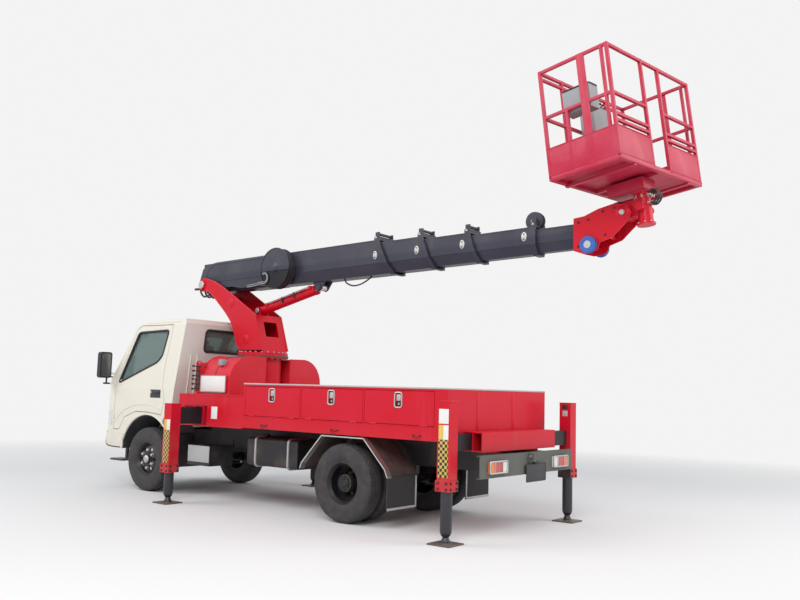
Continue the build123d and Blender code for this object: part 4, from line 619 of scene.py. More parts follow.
def wheels():
    """Treaded tyres in place of the plain ones, with nuts, hub caps and valve stems on the rims."""
    for word, side in SIDES:
        x, body = AXLE_X["front"], f"wheel_front_{word[0]}"
        front = piece(f"tyre_front_{word}", body, tyre_rubber, tyre(x, side * FRONT_WHEEL_Y), sharp=50)
        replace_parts(front, f"front_tyre_{word}")
        piece(f"nuts_front_{word}", body, bright_steel, *wheel_nuts(x, side * 0.800, side, 0.019, 0.024))
        piece(f"hub_front_{word}", body, bright_steel, turned(FRONT_HUB, (x, side * 0.8245, WHEEL_Z), side))
        x, body = AXLE_X["rear"], f"wheel_rear_{word[0]}"
        rear = piece(f"tyres_rear_{word}", body, tyre_rubber, *[tyre(x, side * y) for y in TWIN_Y], sharp=50)
        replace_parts(rear, f"rear_tyres_{word}")
        piece(f"nuts_rear_{word}", body, wheel_black, *wheel_nuts(x, side * 0.689, side, 0.02, 0.034))
        bolts = [(x + 0.07 * math.cos(a), side * 0.842, WHEEL_Z + 0.07 * math.sin(a))
                 for a in np.arange(8) * np.pi / 4]
        piece(f"hub_rear_{word}", body, wheel_black, turned(REAR_HUB, (x, side * 0.854, WHEEL_Z), side),
              *hexagons(bolts, "y", 0.009, side * 0.008))
        for end, y in (("front", FRONT_WHEEL_Y + 0.074), ("rear", TWIN_Y[1] + 0.074)):
            stem = eased([(AXLE_X[end] + ahead, side * (y + out), WHEEL_Z + 0.03)
                          for ahead, out in ((0.178, -0.03), (0.172, -0.004), (0.168, 0.006))], 10)
            piece(f"valve_{end}_{word}", f"wheel_{end}_{word[0]}", seal_rubber, tube(stem, 0.004, "z"))


# Cab

ARCH_CENTRE = (WHEELBASE, 0.42)
HANDLE_X = 3.235
SIDE_WINDOW = [(4.052, 1.338), (3.716, 1.998), (3.085, 2.018), (3.172, 1.690), (3.262, 1.612)]
DOOR_CREASE = [(3.13, 1.03), (3.32, 1.072), (3.60, 1.07), (3.86, 1.005), (4.06, 0.875)]
ROOF_GUTTER = [(3.74, 2.092), (3.60, 2.112), (3.20, 2.122), (2.86, 2.118)]
BUMPER_LINE = [(4.326, 0.700), (4.318, 0.660), (4.302, 0.600), (4.262, 0.557), (4.200, 0.528), (4.100, 0.514),
               (3.910, 0.512)]


def cab_side(z):
    """How far the cab's side stands out at a height: upright to the waist, then leaning in to the roof."""
    return 0.850 - 0.067 * np.maximum(np.asarray(z) - 1.28, 0)


def cab_nose(z):
    """Where the cab's front face is at a height, from the rear axle, following its side view."""
    return np.interp(z, [0.51, 0.585, 0.80, 1.13, 1.318, 2.068, 2.148], [4.18, 4.31, 4.345, 4.328, 4.272, 3.77, 3.60])


def cab_back(z):
    """Where the cab's rear wall is at a height, from the rear axle."""
    return np.interp(z, [1.10, 2.105, 2.165], [2.885, 2.762, 2.83])


def on_side(outline, side, proud):
    """Points of a side view laid on the cab's side, a little proud of it."""
    outline = np.array(outline, float)
    return flat("y", outline, side * (cab_side(outline[:, 1]) + proud))


def arc_points(centre, radius, start, stop, count):
    """Points along an arc in side view, its angles in degrees from straight ahead."""
    angle = np.radians(np.linspace(start, stop, count))
    return np.stack([centre[0] + radius * np.cos(angle), centre[1] + radius * np.sin(angle)], -1)


def cab_doors():
    """What each door carries: its pane, the black seal round it, handle, lock and the crease above the arch."""
    loop = rounded_loop(SIDE_WINDOW, 0.05)
    for word, side in SIDES:
        body = f"door_{word[0]}"
        piece(f"door_glass_{word}", body, glass, plate(on_side(loop, side, -0.016), (0, -side * 0.005, 0)))
        for part, proud, thick in (("seal", -0.002, 0.013), ("channel", -0.03, 0.012)):
            piece(f"door_{part}_{word}", body, seal_rubber,
                  tube(on_side(loop, side, proud), thick, closed=True, sides=10))
        crease = eased(on_side(DOOR_CREASE, side, -0.0015), 40)
        piece(f"door_crease_{word}", body, cream, tube(crease, 0.0085, "z", sides=10))
        piece(f"door_handle_{word}", body, dark_plastic,
              block(HANDLE_X - 0.105, HANDLE_X + 0.105, side * 0.845, side * 0.8525, 1.165, 1.268, 0.003),
              block(HANDLE_X - 0.09, HANDLE_X + 0.06, side * 0.850, side * 0.870, 1.222, 1.248, 0.008, 3))
        piece(f"door_lock_{word}", body, bright_steel,
              turned([(0, 0), (0.013, 0), (0.013, 0.006), (0, 0.006)], at(HANDLE_X + 0.082, side * 0.852, 1.235),
                     side, 24))


def wheel_arches():
    """A black liner inside each front arch, and the painted lip round its edge."""
    for word, side in SIDES:
        rings = [flat("y", arc_points(ARCH_CENTRE, radius, 12, 142, 40), side * y)
                 for radius, y in ((0.521, 0.392), (0.521, 0.842), (0.516, 0.842), (0.516, 0.392))]
        piece(f"arch_liner_{word}", "root", dark_plastic, skin(np.stack(rings, 1)))
        lip = arc_points(ARCH_CENTRE, 0.536, 24, 140, 50)
        piece(f"arch_lip_{word}", "root", cream, tube(on_side(lip, side, -0.001), 0.012, sides=10))


def cab_windows():
    """The black seals round the windscreen and the rear window, and two wipers parked at the foot of the screen."""
    screen = rounded_loop([(-0.735, 1.345), (0.735, 1.345), (0.672, 2.035), (-0.672, 2.035)], 0.07)
    path = flat("x", screen, cab_nose(screen[:, 1]) - 0.003)
    piece("windscreen_seal", "root", seal_rubber, tube(path, 0.017, "x", closed=True, sides=10))
    back = rounded_loop(rectangle(-0.47, 0.47, 1.762, 2.035), 0.05)
    path = flat("x", back, cab_back(back[:, 1]) + 0.002)
    piece("rear_window_seal", "root", seal_rubber, tube(path, 0.016, "x", closed=True, sides=10))
    for number, y in enumerate((-0.32, 0.30)):
        foot = at(cab_nose(1.31) + 0.012, y, 1.31)
        tip = at(cab_nose(1.40) + 0.022, y + 0.44, 1.40)
        arm = eased([foot, foot + (0.014, 0.09, 0.035), (foot + tip) / 2 + (0.012, 0, 0.01), tip], 24)
        blade = [tip + (0.0, -0.29, -0.045), tip + (-0.012, 0.19, 0.03)]
        piece(f"wiper_{number + 1}", "root", dark_plastic, tube(arm, 0.007, "z"), tube(blade, 0.009, "z"),
              turned([(0, 0), (0.02, 0), (0.016, 0.024), (0, 0.026)], foot - (0.012, 0, 0), 1, 24, "x"))


def cab_body():
    """Seams and small fittings of the shell: roof gutters, flaps, the bumper's lower line, rear wall ribs, grille
    bars and a blank plate."""
    edge = np.array(BUMPER_LINE)
    outward = 0.676 + np.sqrt(0.184 ** 2 - np.maximum(edge[:, 0] - 4.180, 0) ** 2)
    for word, side in SIDES:
        line = eased(on_side(ROOF_GUTTER, side, -0.012), 40)
        piece(f"roof_gutter_{word}", "root", cream, tube(line, 0.009, "z", sides=10, flatten=0.7))
        piece(f"front_flap_{word}", "root", seal_rubber,
              block(2.925, 2.935, side * 0.45, side * 0.83, 0.33, 0.72, 0.003))
        piece(f"bumper_line_{word}", "root", seal_rubber, tube(eased(flat("y", edge, side * outward), 40), 0.0085))
    for number, y in enumerate((-0.66, -0.56, 0.56, 0.66)):
        rib = [at(cab_back(z) - 0.002, y, z) for z in (1.20, 1.72)]
        piece(f"rear_rib_{number + 1}", "root", cream, tube(rib, 0.010, sides=10, flatten=0.8))
    piece("grille_bars", "root", dark_plastic,
          *[block(cab_nose(z) - 0.002, cab_nose(z) + 0.012, -0.415, 0.415, z - 0.006, z + 0.006)
            for z in (1.035, 1.057, 1.079, 1.101)])
    x = cab_nose(0.6) + 0.016
    piece("front_number_plate", "root", grey_plastic, block(x, x + 0.004, -0.165, 0.165, 0.545, 0.655, 0.002))


# Inside the cab

SEAT_MIDDLE_Y = 0.430
PAD_CROWN = 0.175
PAD_CHANNELS = (-0.42, 0.42)
PAD_EDGE = 0.30


def pad(centre, across, upward, outward):
    """A stuffed pad: a rounded box |x|^e + |y|^e + |z|^e = 1 about three half-axis vectors. Its sides pull in
    between the corners, its face is crowned, and sewn channels sink into the face along its length."""
    turn = np.linspace(0, 2 * np.pi, 72, endpoint=False)[None]
    rise = np.linspace(-np.pi / 2, np.pi / 2, 33)[:, None]

    def power(value, share):
        return np.sign(value) * np.abs(value) ** share

    level = power(np.cos(rise), PAD_EDGE)
    u = level * power(np.cos(turn), 0.28)
    v = level * power(np.sin(turn), 0.28)
    w = power(np.sin(rise), PAD_EDGE) * np.ones_like(turn)
    v = v * (1 - 0.035 * (1 - u ** 2) * (1 - w ** 2))
    dome = 0.95 + PAD_CROWN * (1 - u ** 2) * (1 - v ** 2)
    for line in PAD_CHANNELS:
        dome = dome - 0.16 * np.exp(-((u - line) / 0.035) ** 2) * (np.abs(v) < 0.97)
    w = w * np.where(w > 0, dome, 1)
    points = (np.array(centre) + u[..., None] * np.array(across) + v[..., None] * np.array(upward)
              + w[..., None] * np.array(outward))
    return skin(points, ends=False)


def piping(centre, across, upward, outward):
    """The sewn cord round a pad's edge."""
    loop = rounded_loop(rectangle(-0.97, 0.97, -0.97, 0.97), 0.18)
    path = (np.array(centre) + loop[:, :1] * np.array(across) + loop[:, 1:] * np.array(upward)
            + 0.72 * np.array(outward))
    return tube(path, 0.006, outward, closed=True)


def seats():
    """Both seats: a steel base, a crowned cushion and back with sewn channels and piping, and a crest behind."""
    for word, side in SIDES:
        y = side * SEAT_MIDDLE_Y
        parts = {
            "cushion": (at(3.280, y, 1.245), (0, 0.226, 0), (0.216, 0, 0), (0, 0, 0.060)),
            "back": (at(2.972, y, 1.525), (0, 0.226, 0), (-0.030, 0, 0.335), (0.050, 0, 0.005)),
        }
        for part, shape in parts.items():
            name = f"seat_{part}_{word}"
            thing = piece(name, "root", seat_cloth, pad(*shape), sharp=60)
            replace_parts(thing, "cab_interior")
            piece(f"{name}_piping", "root", seal_rubber, piping(*shape))
        base = block(3.020, 3.480, y - 0.230, y + 0.230, 0.992, 1.178, 0.012, 3)
        bezel = block(3.040, 3.490, y - 0.215, y + 0.215, 1.172, 1.186)
        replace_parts(piece(f"seat_base_{word}", "root", dark_plastic, base, bezel), "cab_interior")
        piece(f"seat_crest_{word}", "root", dark_plastic,
              block(2.875, 2.925, y - 0.10, y + 0.10, 1.860, 1.905, 0.012, 3))


def across_truck(outline, radius, y0, y1):
    """A side-view outline with bent corners, carried across the truck."""
    return plate(flat("y", rounded_loop(outline, radius), y0), (0, y1 - y0, 0))


def dashboard():
    """The dashboard with its binnacle and vents, and the steering wheel on its column."""
    body = across_truck([(4.02, 1.012), (4.250, 1.012), (4.205, 1.258), (3.965, 1.306), (3.905, 1.222)], 0.022,
                        -0.705, 0.705)
    binnacle = across_truck([(3.900, 1.255), (4.100, 1.285), (4.080, 1.365), (3.925, 1.370)], 0.02, 0.245, 0.615)
    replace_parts(piece("dashboard", "root", dark_plastic, body, binnacle), "cab_interior")
    vents = [block(3.902, 3.926, y - 0.055, y + 0.055, z, z + 0.008, 0.003)
             for y in (-0.60, 0.0, 0.66) for z in (1.215, 1.232, 1.249)]
    piece("dash_vents", "root", grey_plastic, *vents)
    middle = at(3.850, SEAT_MIDDLE_Y, 1.395)
    tilt = math.radians(-58)
    first = np.array([math.cos(tilt), 0, -math.sin(tilt)])
    second = np.array([0, 1.0, 0])
    axis = np.array([math.sin(tilt), 0, math.cos(tilt)])
    turn = np.linspace(0, 2 * np.pi, 72, endpoint=False)[:, None]
    ring = middle + 0.190 * (np.cos(turn) * first + np.sin(turn) * second)
    arms = [math.cos(a) * first + math.sin(a) * second for a in np.arange(4) * np.pi / 2]
    spokes = [tube([middle + arm * 0.03 - axis * 0.018, middle + arm * 0.11 - axis * 0.010, middle + arm * 0.186],
                   0.011, axis, flatten=0.6) for arm in arms]
    boss = tube([middle - axis * 0.035, middle - axis * 0.01, middle + axis * 0.012], 0.045, sides=28)
    column = tube([middle - axis * 0.20, middle - axis * 0.12, middle - axis * 0.03], 0.026, sides=20)
    wheel = piece("steering_wheel", "root", dark_plastic, tube(ring, 0.0135, axis, closed=True, sides=10), *spokes,
                  boss, column)
    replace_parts(wheel, "cab_interior")


def front_fittings():
    """Mirror glass and rims, tread bars on the side steps, and the dark ends of the bumper."""
    for word, side in SIDES:
        low, high = sorted((side * 0.915, side * 1.055))
        rim = flat("x", rounded_loop(rectangle(low, high, 1.415, 1.725), 0.03), 4.1545)
        piece(f"mirror_glass_{word}", "root", mirror_silver, plate(rim, (-0.0025, 0, 0)))
        piece(f"mirror_rim_{word}", "root", seal_rubber, tube(rim, 0.006, "x", closed=True))
        treads = [block(x, x + 0.016, side * 0.648, side * 0.792, 0.351, 0.357, 0.002)
                  for x in 3.965 + 0.034 * np.arange(7)]
        piece(f"step_treads_{word}", "root", bright_steel, *treads)
        piece(f"bumper_end_{word}", "root", dark_plastic,
              block(3.872, 3.884, side * 0.700, side * 0.858, 0.500, 0.684))


# Load body

LOCKER_FRONT = 1.480
LOCKER_STEP = 0.880
HOOK = ((-0.045, 0.915, 0.925), (-0.03, 0.937, 0.912), (0, 0.943, 0.907), (0.03, 0.937, 0.912), (0.045, 0.915, 0.925))


def locker_latches():
    """A paddle latch on each locker door: bright rounded rim, dark dish, and the paddle in its upper half."""
    for word, side in SIDES:
        for number in range(3):
            x = LOCKER_FRONT - (number + 0.5) * LOCKER_STEP
            body = f"locker_{word}_{number + 1}"
            name = f"{word}_{number + 1}"
            rim = bar_loop("y", side * 0.9165, rectangle(x - 0.044, x + 0.044, 1.179, 1.321), 0.024, 0.0075, 6)
            piece(f"latch_rim_{name}", body, bright_steel, rim)
            piece(f"latch_dish_{name}", body, dark_plastic,
                  block(x - 0.0355, x + 0.0355, side * 0.899, side * 0.9025, 1.1875, 1.3125, 0.001))
            grip = block(x - 0.026, x + 0.026, side * 0.9025, side * 0.914, 1.241, 1.303, 0.005, 3)
            key = turned([(0, 0), (0.010, 0), (0.010, 0.006), (0, 0.006)], at(x, side * 0.9025, 1.212), side, 20)
            piece(f"latch_paddle_{name}", body, bright_steel, grip, key)


def body_trim():
    """The pale edge strip round the top of the load body, ribs in the tail panel, rope hooks and locker sills."""
    strips = [block(-1.302, 1.508, side * 0.900, side * 0.9175, 1.362, 1.377, 0.003) for _, side in SIDES]
    strips.append(block(-1.3035, -1.285, -0.914, 0.914, 1.362, 1.377, 0.003))
    piece("body_top_edge", "root", grey_sheet, *strips)
    piece("tail_ribs", "root", red,
          *[block(-1.3045, -1.296, y - 0.019, y + 0.019, 0.955, 1.345) for y in (-0.244, 0.411)])
    for word, side in SIDES:
        hooks = [tube(eased([at(x + along, side * y, z) for along, y, z in HOOK], 24), 0.006, "z")
                 for x in (-0.95, 0.10, 1.15)]
        piece(f"rope_hooks_{word}", "root", chassis_black, *hooks)
        sills = [block(x - 0.862, x - 0.018, side * 0.912, side * 0.9175, 1.0035, 1.0125, 0.002)
                 for x in LOCKER_FRONT - LOCKER_STEP * np.arange(3)]
        piece(f"locker_sills_{word}", "root", red, *sills)


# Rear

LAMP_FACE = -1.664


def lamp_clusters():
    """The bright frames and dividing bars of both rear lamp clusters, with their screws."""
    for word, side in SIDES:
        low, high = sorted((side * 0.450, side * 0.750))
        rim = bar_loop("x", LAMP_FACE - 0.001, rectangle(low, high, 0.615, 0.720), 0.012, 0.0075)
        bars = [block(LAMP_FACE - 0.006, LAMP_FACE + 0.002, side * y - 0.004, side * y + 0.004, 0.617, 0.718, 0.002)
                for y in (0.535, 0.665)]
        piece(f"lamp_frame_{word}", "root", bright_steel, rim, *bars)
        screw = [(0, -0.004), (0.006, -0.003), (0.006, 0.003), (0, 0.003)]
        screws = [turned(screw, at(LAMP_FACE - 0.002, side * y, z), 1, 12, "x")
                  for y in (0.462, 0.738) for z in (0.628, 0.707)]
        piece(f"lamp_screws_{word}", "root", bright_steel, *screws)


def rear_plate():
    """A blank dark plate on its bracket under the tail, with its small lamp, and the pin of the tow hook."""
    sheet = block(-1.664, -1.660, -0.28, 0.095, 0.500, 0.665, 0.0015)
    bracket = [block(-1.660, -1.640, y - 0.012, y + 0.012, 0.540, 0.640, 0.003) for y in (-0.24, 0.055)]
    piece("rear_plate", "root", dark_plastic, sheet, *bracket)
    piece("rear_plate_edge", "root", seal_rubber,
          bar_loop("x", -1.662, rectangle(-0.28, 0.095, 0.500, 0.665), 0.012, 0.0045))
    piece("plate_lamp", "root", seal_rubber, block(-1.672, -1.640, -0.125, -0.055, 0.666, 0.692, 0.006, 3))
    pin = [(0, -0.034), (0.008, -0.034), (0.008, 0.028), (0.012, 0.030), (0.012, 0.036), (0, 0.036)]
    piece("tow_pin", "root", bright_steel, turned(pin, at(-1.668, 0, 0.742), 1, 20))


def mudguard_trim():
    """Bright strips along the foot and inner edge of each mud flap."""
    for word, side in SIDES:
        foot = block(-0.612, -0.598, side * 0.445, side * 0.903, 0.188, 0.212, 0.003)
        inner = block(-0.612, -0.603, side * 0.443, side * 0.465, 0.205, 0.500, 0.003)
        piece(f"flap_strips_{word}", "root", bright_steel, foot, inner)


# Outriggers

COLUMNS = [  # name, x and y of the middle, height of the top and of the foot
    ("front_left", 2.300, 1.270, 1.114, 0.345), ("front_right", 2.464, -1.270, 1.114, 0.345),
    ("rear_left", -1.405, 1.055, 1.250, 0.462), ("rear_right", -1.505, -1.055, 1.250, 0.462)]
FRONT_LABELS = ((0.82, 0.94), (0.455, 0.82))
REAR_LABELS = ((0.915, 1.187), (0.583, 0.915))
COLLAR_BOLT = [(0, 0), (0.013, 0), (0.013, 0.008), (0.009, 0.011), (0, 0.011)]
LEG_TOPS = {"front": 0.770, "rear": 0.850}
FOOT_HALF = 0.120
LEG_PROFILE = [(0.0535, 0.120), (0.050, 0.098), (0.040, 0.076), (0.031, 0.070), (0.028, 0.062), (0.032, 0.052),
               (0.038, 0.040), (0.042, 0.026), (0.054, 0.022), (0.058, 0.013), (0, 0.013)]


def column_details():
    """Each outrigger column: blank labels, chequered tape, a cap, bolts through the collar and a weld above it."""
    for name, x, y, top, foot in COLUMNS:
        side = math.copysign(1, y)
        body = f"beam_{name}"
        face = (y + side * 0.065, y + side * 0.0664)
        label, chequered = FRONT_LABELS if name.startswith("front") else REAR_LABELS
        low, high = label[0] + 0.002, min(label[1], label[0] + 0.130)
        piece(f"column_tape_{name}", body, tape, block(x - 0.053, x + 0.053, *face, *chequered, 0.0006))
        signs = [block(x - 0.053, x + 0.004, *face, low, high, 0.0006)]
        if name.startswith("rear"):
            signs.append(block(x - 0.053, x + 0.053, *face, high + 0.012, label[1], 0.0006))
        piece(f"column_label_{name}", body, white_sheet, *signs)
        piece(f"column_sticker_{name}", body, sticker_yellow,
              block(x + 0.006, x + 0.053, *face, low, high, 0.0006))
        if name == "rear_right":
            inner = (y + 0.0645, y + 0.0655)
            piece("column_slot", body, seal_rubber, block(x - 0.034, x + 0.034, *inner, 1.19, 1.238, 0.0004))
            piece("column_tag", body, grey_sheet, block(x - 0.030, x + 0.030, *inner, 1.115, 1.172, 0.0004))
        piece(f"column_cap_{name}", body, red,
              block(x - 0.069, x + 0.069, y - 0.069, y + 0.069, top - 0.002, top + 0.009, 0.005, 3))
        corners = [(along, foot + 0.048 + dz) for along in (-0.045, 0.045) for dz in (-0.026, 0.026)]
        bolts = [turned(COLLAR_BOLT, at(x + dx, y + side * 0.075, z), side, 6) for dx, z in corners]
        ends = [turned(COLLAR_BOLT, at(x + end * 0.075, y + dy, z), end, 6, "x") for end in (-1, 1)
                for dy, z in corners]
        piece(f"collar_bolts_{name}", body, chassis_black, *bolts, *ends)
        weld = rectangle(x - 0.066, x + 0.066, y - 0.066, y + 0.066)
        piece(f"column_weld_{name}", body, red, bar_loop("z", foot + 0.097, weld, 0.01, 0.006))


def legs():
    """Each leg: a round greased ram that narrows to a ball joint, over a thin square foot plate."""
    for name, x, y, _, _ in COLUMNS:
        top = LEG_TOPS[name.split("_")[0]]
        ram = [(0, top), (0.047, top), (0.0535, top - 0.006)] + LEG_PROFILE
        foot = block(x - FOOT_HALF, x + FOOT_HALF, y - FOOT_HALF, y + FOOT_HALF, 0, 0.014, 0.004, 3)
        leg = piece(f"leg_ram_{name}", f"leg_{name}", leg_black, turned(ram, at(x, y, 0), 1, 48, "z"), foot)
        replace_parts(leg, f"outrigger_leg_{name}")


# Platform and hoods

HOOD_Y = (0.262, 0.806)
HOOD_Z = (1.237, 1.690)
HOOD_SHOULDER = 0.300
HOODS = (("left", 1, 1.870), ("right", -1, 1.980))
LEVER_X = 2.435
LEVER_HEIGHTS = 1.300 + 0.052 * np.arange(6)
TANK_CAP = [(0, 0.040), (0.040, 0.038), (0.045, 0.030), (0.045, 0.010), (0.036, 0.006), (0.036, -0.01), (0, -0.01)]


def hood_section(grow):
    """The hood's outline seen along the truck: upright inner side, and one large round outer shoulder."""
    inner, outer = HOOD_Y[0] - grow, HOOD_Y[1] + grow
    low, high = HOOD_Z[0], HOOD_Z[1] + grow
    radius = HOOD_SHOULDER + grow
    shoulder = arc_points((outer - radius, high - radius), radius, 90, 0, 24)
    return np.concatenate([[(inner, low), (inner, high)], shoulder, [(outer, low)]])


def hood_details():
    """Both hoods: a raised rim at each end, the seam of the lid, and a flange along the foot."""
    for word, side, rear in HOODS:
        line = hood_section(0.002) * (side, 1)
        piece(f"hood_rims_{word}", "root", hood_red_painted_sheen,
              *[tube(flat("x", line, x), 0.010, "x") for x in (rear + 0.012, rear + 0.548)])
        seam = flat("x", hood_section(0.0005)[1:] * (side, 1), rear + 0.285)
        piece(f"hood_seam_{word}", "root", seal_rubber, tube(seam, 0.004, "x"))
        foot = [block(rear - 0.02, rear + 0.58, side * (y - 0.016), side * (y + 0.016), 1.2375, 1.250, 0.003)
                for y in (HOOD_Y[0] - 0.002, HOOD_Y[1] + 0.004)]
        piece(f"hood_foot_{word}", "root", hood_red_painted_sheen, *foot)


def control_panel():
    """The pale blank panel on the left hood with its dark edge, a small grey box above, and a tag below."""
    piece("panel_face", "root", white_sheet, block(1.935, 2.375, 0.826, 0.832, 1.268, 1.450, 0.003))
    piece("panel_edge", "root", grey_plastic,
          bar_loop("y", 0.829, rectangle(1.929, 2.381, 1.2605, 1.4565), 0.012, 0.005, 6))
    piece("hood_box", "root", grey_plastic, block(2.06, 2.13, 0.705, 0.785, 1.575, 1.650, 0.010, 3))
    piece("tag", "root", white_sheet, block(1.945, 2.050, 0.9135, 0.9165, 0.955, 1.095, 0.001))


def lever_bank():
    """The control levers beside the panel: dark spool blocks, level black levers, a red guard, and pipes behind."""
    levers, knobs, pipes = [], [], []
    knob = [(0, -0.016), (0.010, -0.012), (0.0145, 0), (0.011, 0.011), (0, 0.016)]
    for number, z in enumerate(LEVER_HEIGHTS):
        root = at(LEVER_X, 0.836, z)
        tip = root + (-0.012, 0.078, 0.006 * (number % 3 - 1))
        levers.append(tube(eased([root, root + (-0.002, 0.030, 0.002), (root + tip) / 2 + (0, 0.004, 0), tip], 16),
                           0.0052, "z"))
        knobs.append(turned(knob, tip, 1, 20))
        pipes.append(tube(eased([at(2.404, 0.760, z), at(2.385, 0.758, z - 0.01), at(2.376, 0.757, z - 0.05),
                                 at(2.374, 0.757, 1.24)], 20), 0.0075))
    piece("lever_blocks", "root", chassis_black,
          *[block(LEVER_X - 0.031, LEVER_X + 0.031, 0.817, 0.838, z - 0.019, z + 0.019) for z in LEVER_HEIGHTS])
    piece("levers", "root", seal_rubber, *levers)
    piece("lever_knobs", "root", seal_rubber, *knobs)
    piece("lever_guard", "root", red, bar_loop("y", 0.822, rectangle(2.392, 2.478, 1.255, 1.625), 0.03, 0.008))
    piece("lever_pipes", "root", hose_rubber, *pipes)


def tanks():
    """The pale lid of the battery box, and the tanks' caps and straps."""
    piece("battery_lid", "root", grey_sheet, block(2.238, 2.634, 0.758, 0.766, 0.425, 0.618))
    piece("oil_cap", "root", seal_rubber, turned(TANK_CAP, at(1.42, 0.62, 0.770), 1, 32, "z"))
    piece("fuel_cap", "root", seal_rubber, turned(TANK_CAP, at(1.45, -0.66, 0.750), 1, 32, "z"))
    strap = rectangle(0.418, 0.772, 0.458, 0.772)
    piece("tank_straps", "root", bright_steel,
          *[bar_loop("x", x, strap, 0.045, 0.016, flatten=0.9) for x in (0.90, 1.42)])


def skirt_beads():
    """Raised beads along the upper and lower edges of the platform's skirt."""
    for word, side in SIDES:
        piece(f"skirt_beads_{word}", "root", red,
              *[block(1.512, 2.656, side * 0.911, side * 0.9185, low, high, 0.003)
                for low, high in ((1.218, 1.236), (0.864, 0.880))])


# Turret

TURRET_X = 2.220
CYLINDER_FOOT = (2.275, 2.300)
CYLINDER_HEAD = (1.225, 2.548)
ARM_Y = 0.222
ARM_EDGES = ([(2.150, 2.232), (2.844, 2.634), (3.120, 2.734), (3.215, 2.748)],
             [(2.425, 1.80), (2.474, 1.872), (2.630, 2.186), (3.060, 2.561), (3.215, 2.588)])


def bolts_round(z, circle, count, radius, high):
    """Hexagon heads on a level bolt circle about the turret's axis."""
    turn = np.arange(count) * 2 * np.pi / count
    spots = [at(TURRET_X + circle * math.cos(a), circle * math.sin(a), z) for a in turn]
    return hexagons(spots, "z", radius, high)


def slewing_ring():
    """The slewing ring: a row of bolts above and below, and teeth round its edge."""
    piece("ring_bolts_fixed", "root", bright_steel, *bolts_round(1.6935, 0.275, 20, 0.011, -0.011))
    piece("ring_bolts_turning", "turret", bright_steel, *bolts_round(1.7645, 0.288, 24, 0.011, 0.013))
    piece("foot_bolts", "root", bright_steel, *bolts_round(1.2612, 0.247, 12, 0.008, 0.010))
    angle = np.linspace(0, 2 * np.pi, 720, endpoint=False)
    tooth = 0.318 + 0.0045 * np.clip(np.sin(angle * 90) * 2, -1, 1)
    levels = np.array([1.698, 1.700, 1.728, 1.730])[:, None]
    radius = tooth[None] - np.array([0.004, 0, 0, 0.004])[:, None]
    rings = np.stack([radius * np.cos(angle), radius * np.sin(angle), np.broadcast_to(levels, radius.shape)], -1)
    piece("ring_teeth", "root", ring_grey, skin(rings + at(TURRET_X, 0, 0)))


def pedestal_details():
    """The caps and keepers of the boom's pivot pin, edge beads and round plates on the pedestal's arms, and the
    lift cylinder's pin ends."""
    for word, side in SIDES:
        piece(f"pivot_cap_{word}", "turret", bright_steel,
              turned(button(0.020, 0.046, 0.052, 0.014), at(3.220, side * (ARM_Y + 0.010), 2.668), side, 40))
        piece(f"pivot_keeper_{word}", "turret", red,
              block(3.19, 3.25, side * (ARM_Y + 0.010), side * (ARM_Y + 0.022), 2.600, 2.622, 0.003))
        beads = [tube(eased(flat("y", line, side * (ARM_Y - 0.008)), 40), 0.011) for line in ARM_EDGES]
        piece(f"arm_beads_{word}", "turret", red, *beads)
        plates = [turned(button(0.006, 0.050, 0.058, 0.002), beside(spot, side * ARM_Y), side, 32)
                  for spot in ((2.30, 1.92), (2.62, 2.40))]
        piece(f"arm_plates_{word}", "turret", red, *plates)
        piece(f"base_pin_{word}", "turret", bright_steel,
              turned(button(0.010, 0.030, 0.034, 0.006), beside(CYLINDER_FOOT, side * 0.080), side, 28))


def on_cylinder(along, y, above):
    """A point by the lift cylinder: a distance up from its foot, and a distance above its middle line."""
    climb = math.atan2(CYLINDER_HEAD[1] - CYLINDER_FOOT[1], CYLINDER_FOOT[0] - CYLINDER_HEAD[0])
    cos, sin = math.cos(climb), math.sin(climb)
    return beside(CYLINDER_FOOT, y) + (above * sin - along * cos, 0, along * sin + above * cos)


def lift_cylinder_details():
    """Ports and a pipe along the lift cylinder's barrel, and the clips that hold the pipe."""
    line = [on_cylinder(along, y, above) for along, above, y in
            ((0.16, 0.040, 0.050), (0.20, 0.050, 0.062), (0.30, 0.045, 0.068), (0.80, 0.045, 0.068),
             (0.90, 0.050, 0.062), (0.935, 0.040, 0.050))]
    piece("cylinder_pipe", "barrel", bright_steel, tube(eased(line, 60), 0.008, sides=10))
    ports = [rounded_block(on_cylinder(along, 0.02, 0.035) - 0.022, on_cylinder(along, 0.05, 0.035) + 0.022, 0.005)
             for along in (0.16, 0.935)]
    piece("cylinder_ports", "barrel", red, *ports)
    clips = [tube([on_cylinder(along, 0.062, -0.02), on_cylinder(along, 0.066, 0.055)], 0.012)
             for along in (0.45, 0.66)]
    piece("cylinder_clips", "barrel", chassis_black, *clips)


# Boom

# How far each collar lies from the pivot and how far it slants, and where each section's seams begin and end
BOOM_TIPS = [(3.190, 0.200), (3.742, 0.150), (4.312, 0.120), (4.966, 0.0)]
BOOM_FRONTS = [slant + 0.085 - tip for tip, slant in BOOM_TIPS] + [-5.340]
BOOM_BACKS = [-1.255] + [-0.002 - tip for tip, _ in BOOM_TIPS]
TAIL_PANEL = [(-0.02, 0.03), (-0.06, 0.20), (-0.19, 0.262), (-0.60, 0.262), (-1.18, 0.262), (-1.18, 0.03)]
TAIL_SCREWS = ((-0.35, 0.14), (-0.62, 0.11), (-0.9, 0.13), (-0.35, -0.02), (-0.62, 0.00))
REEL = (-1.440, 0.088)
REEL_HUB = [(0, 0.010), (0.040, 0.010), (0.048, 0.006), (0.048, 0.004), (0.070, 0.0), (0.070, -0.008), (0, -0.008)]
PULLEY = [(0.030, -0.0175), (0.090, -0.0175), (0.0955, -0.013), (0.0885, 0.0), (0.0955, 0.013), (0.090, 0.0175),
          (0.030, 0.0175), (0.030, -0.0175)]
HEAD_Y = 0.112
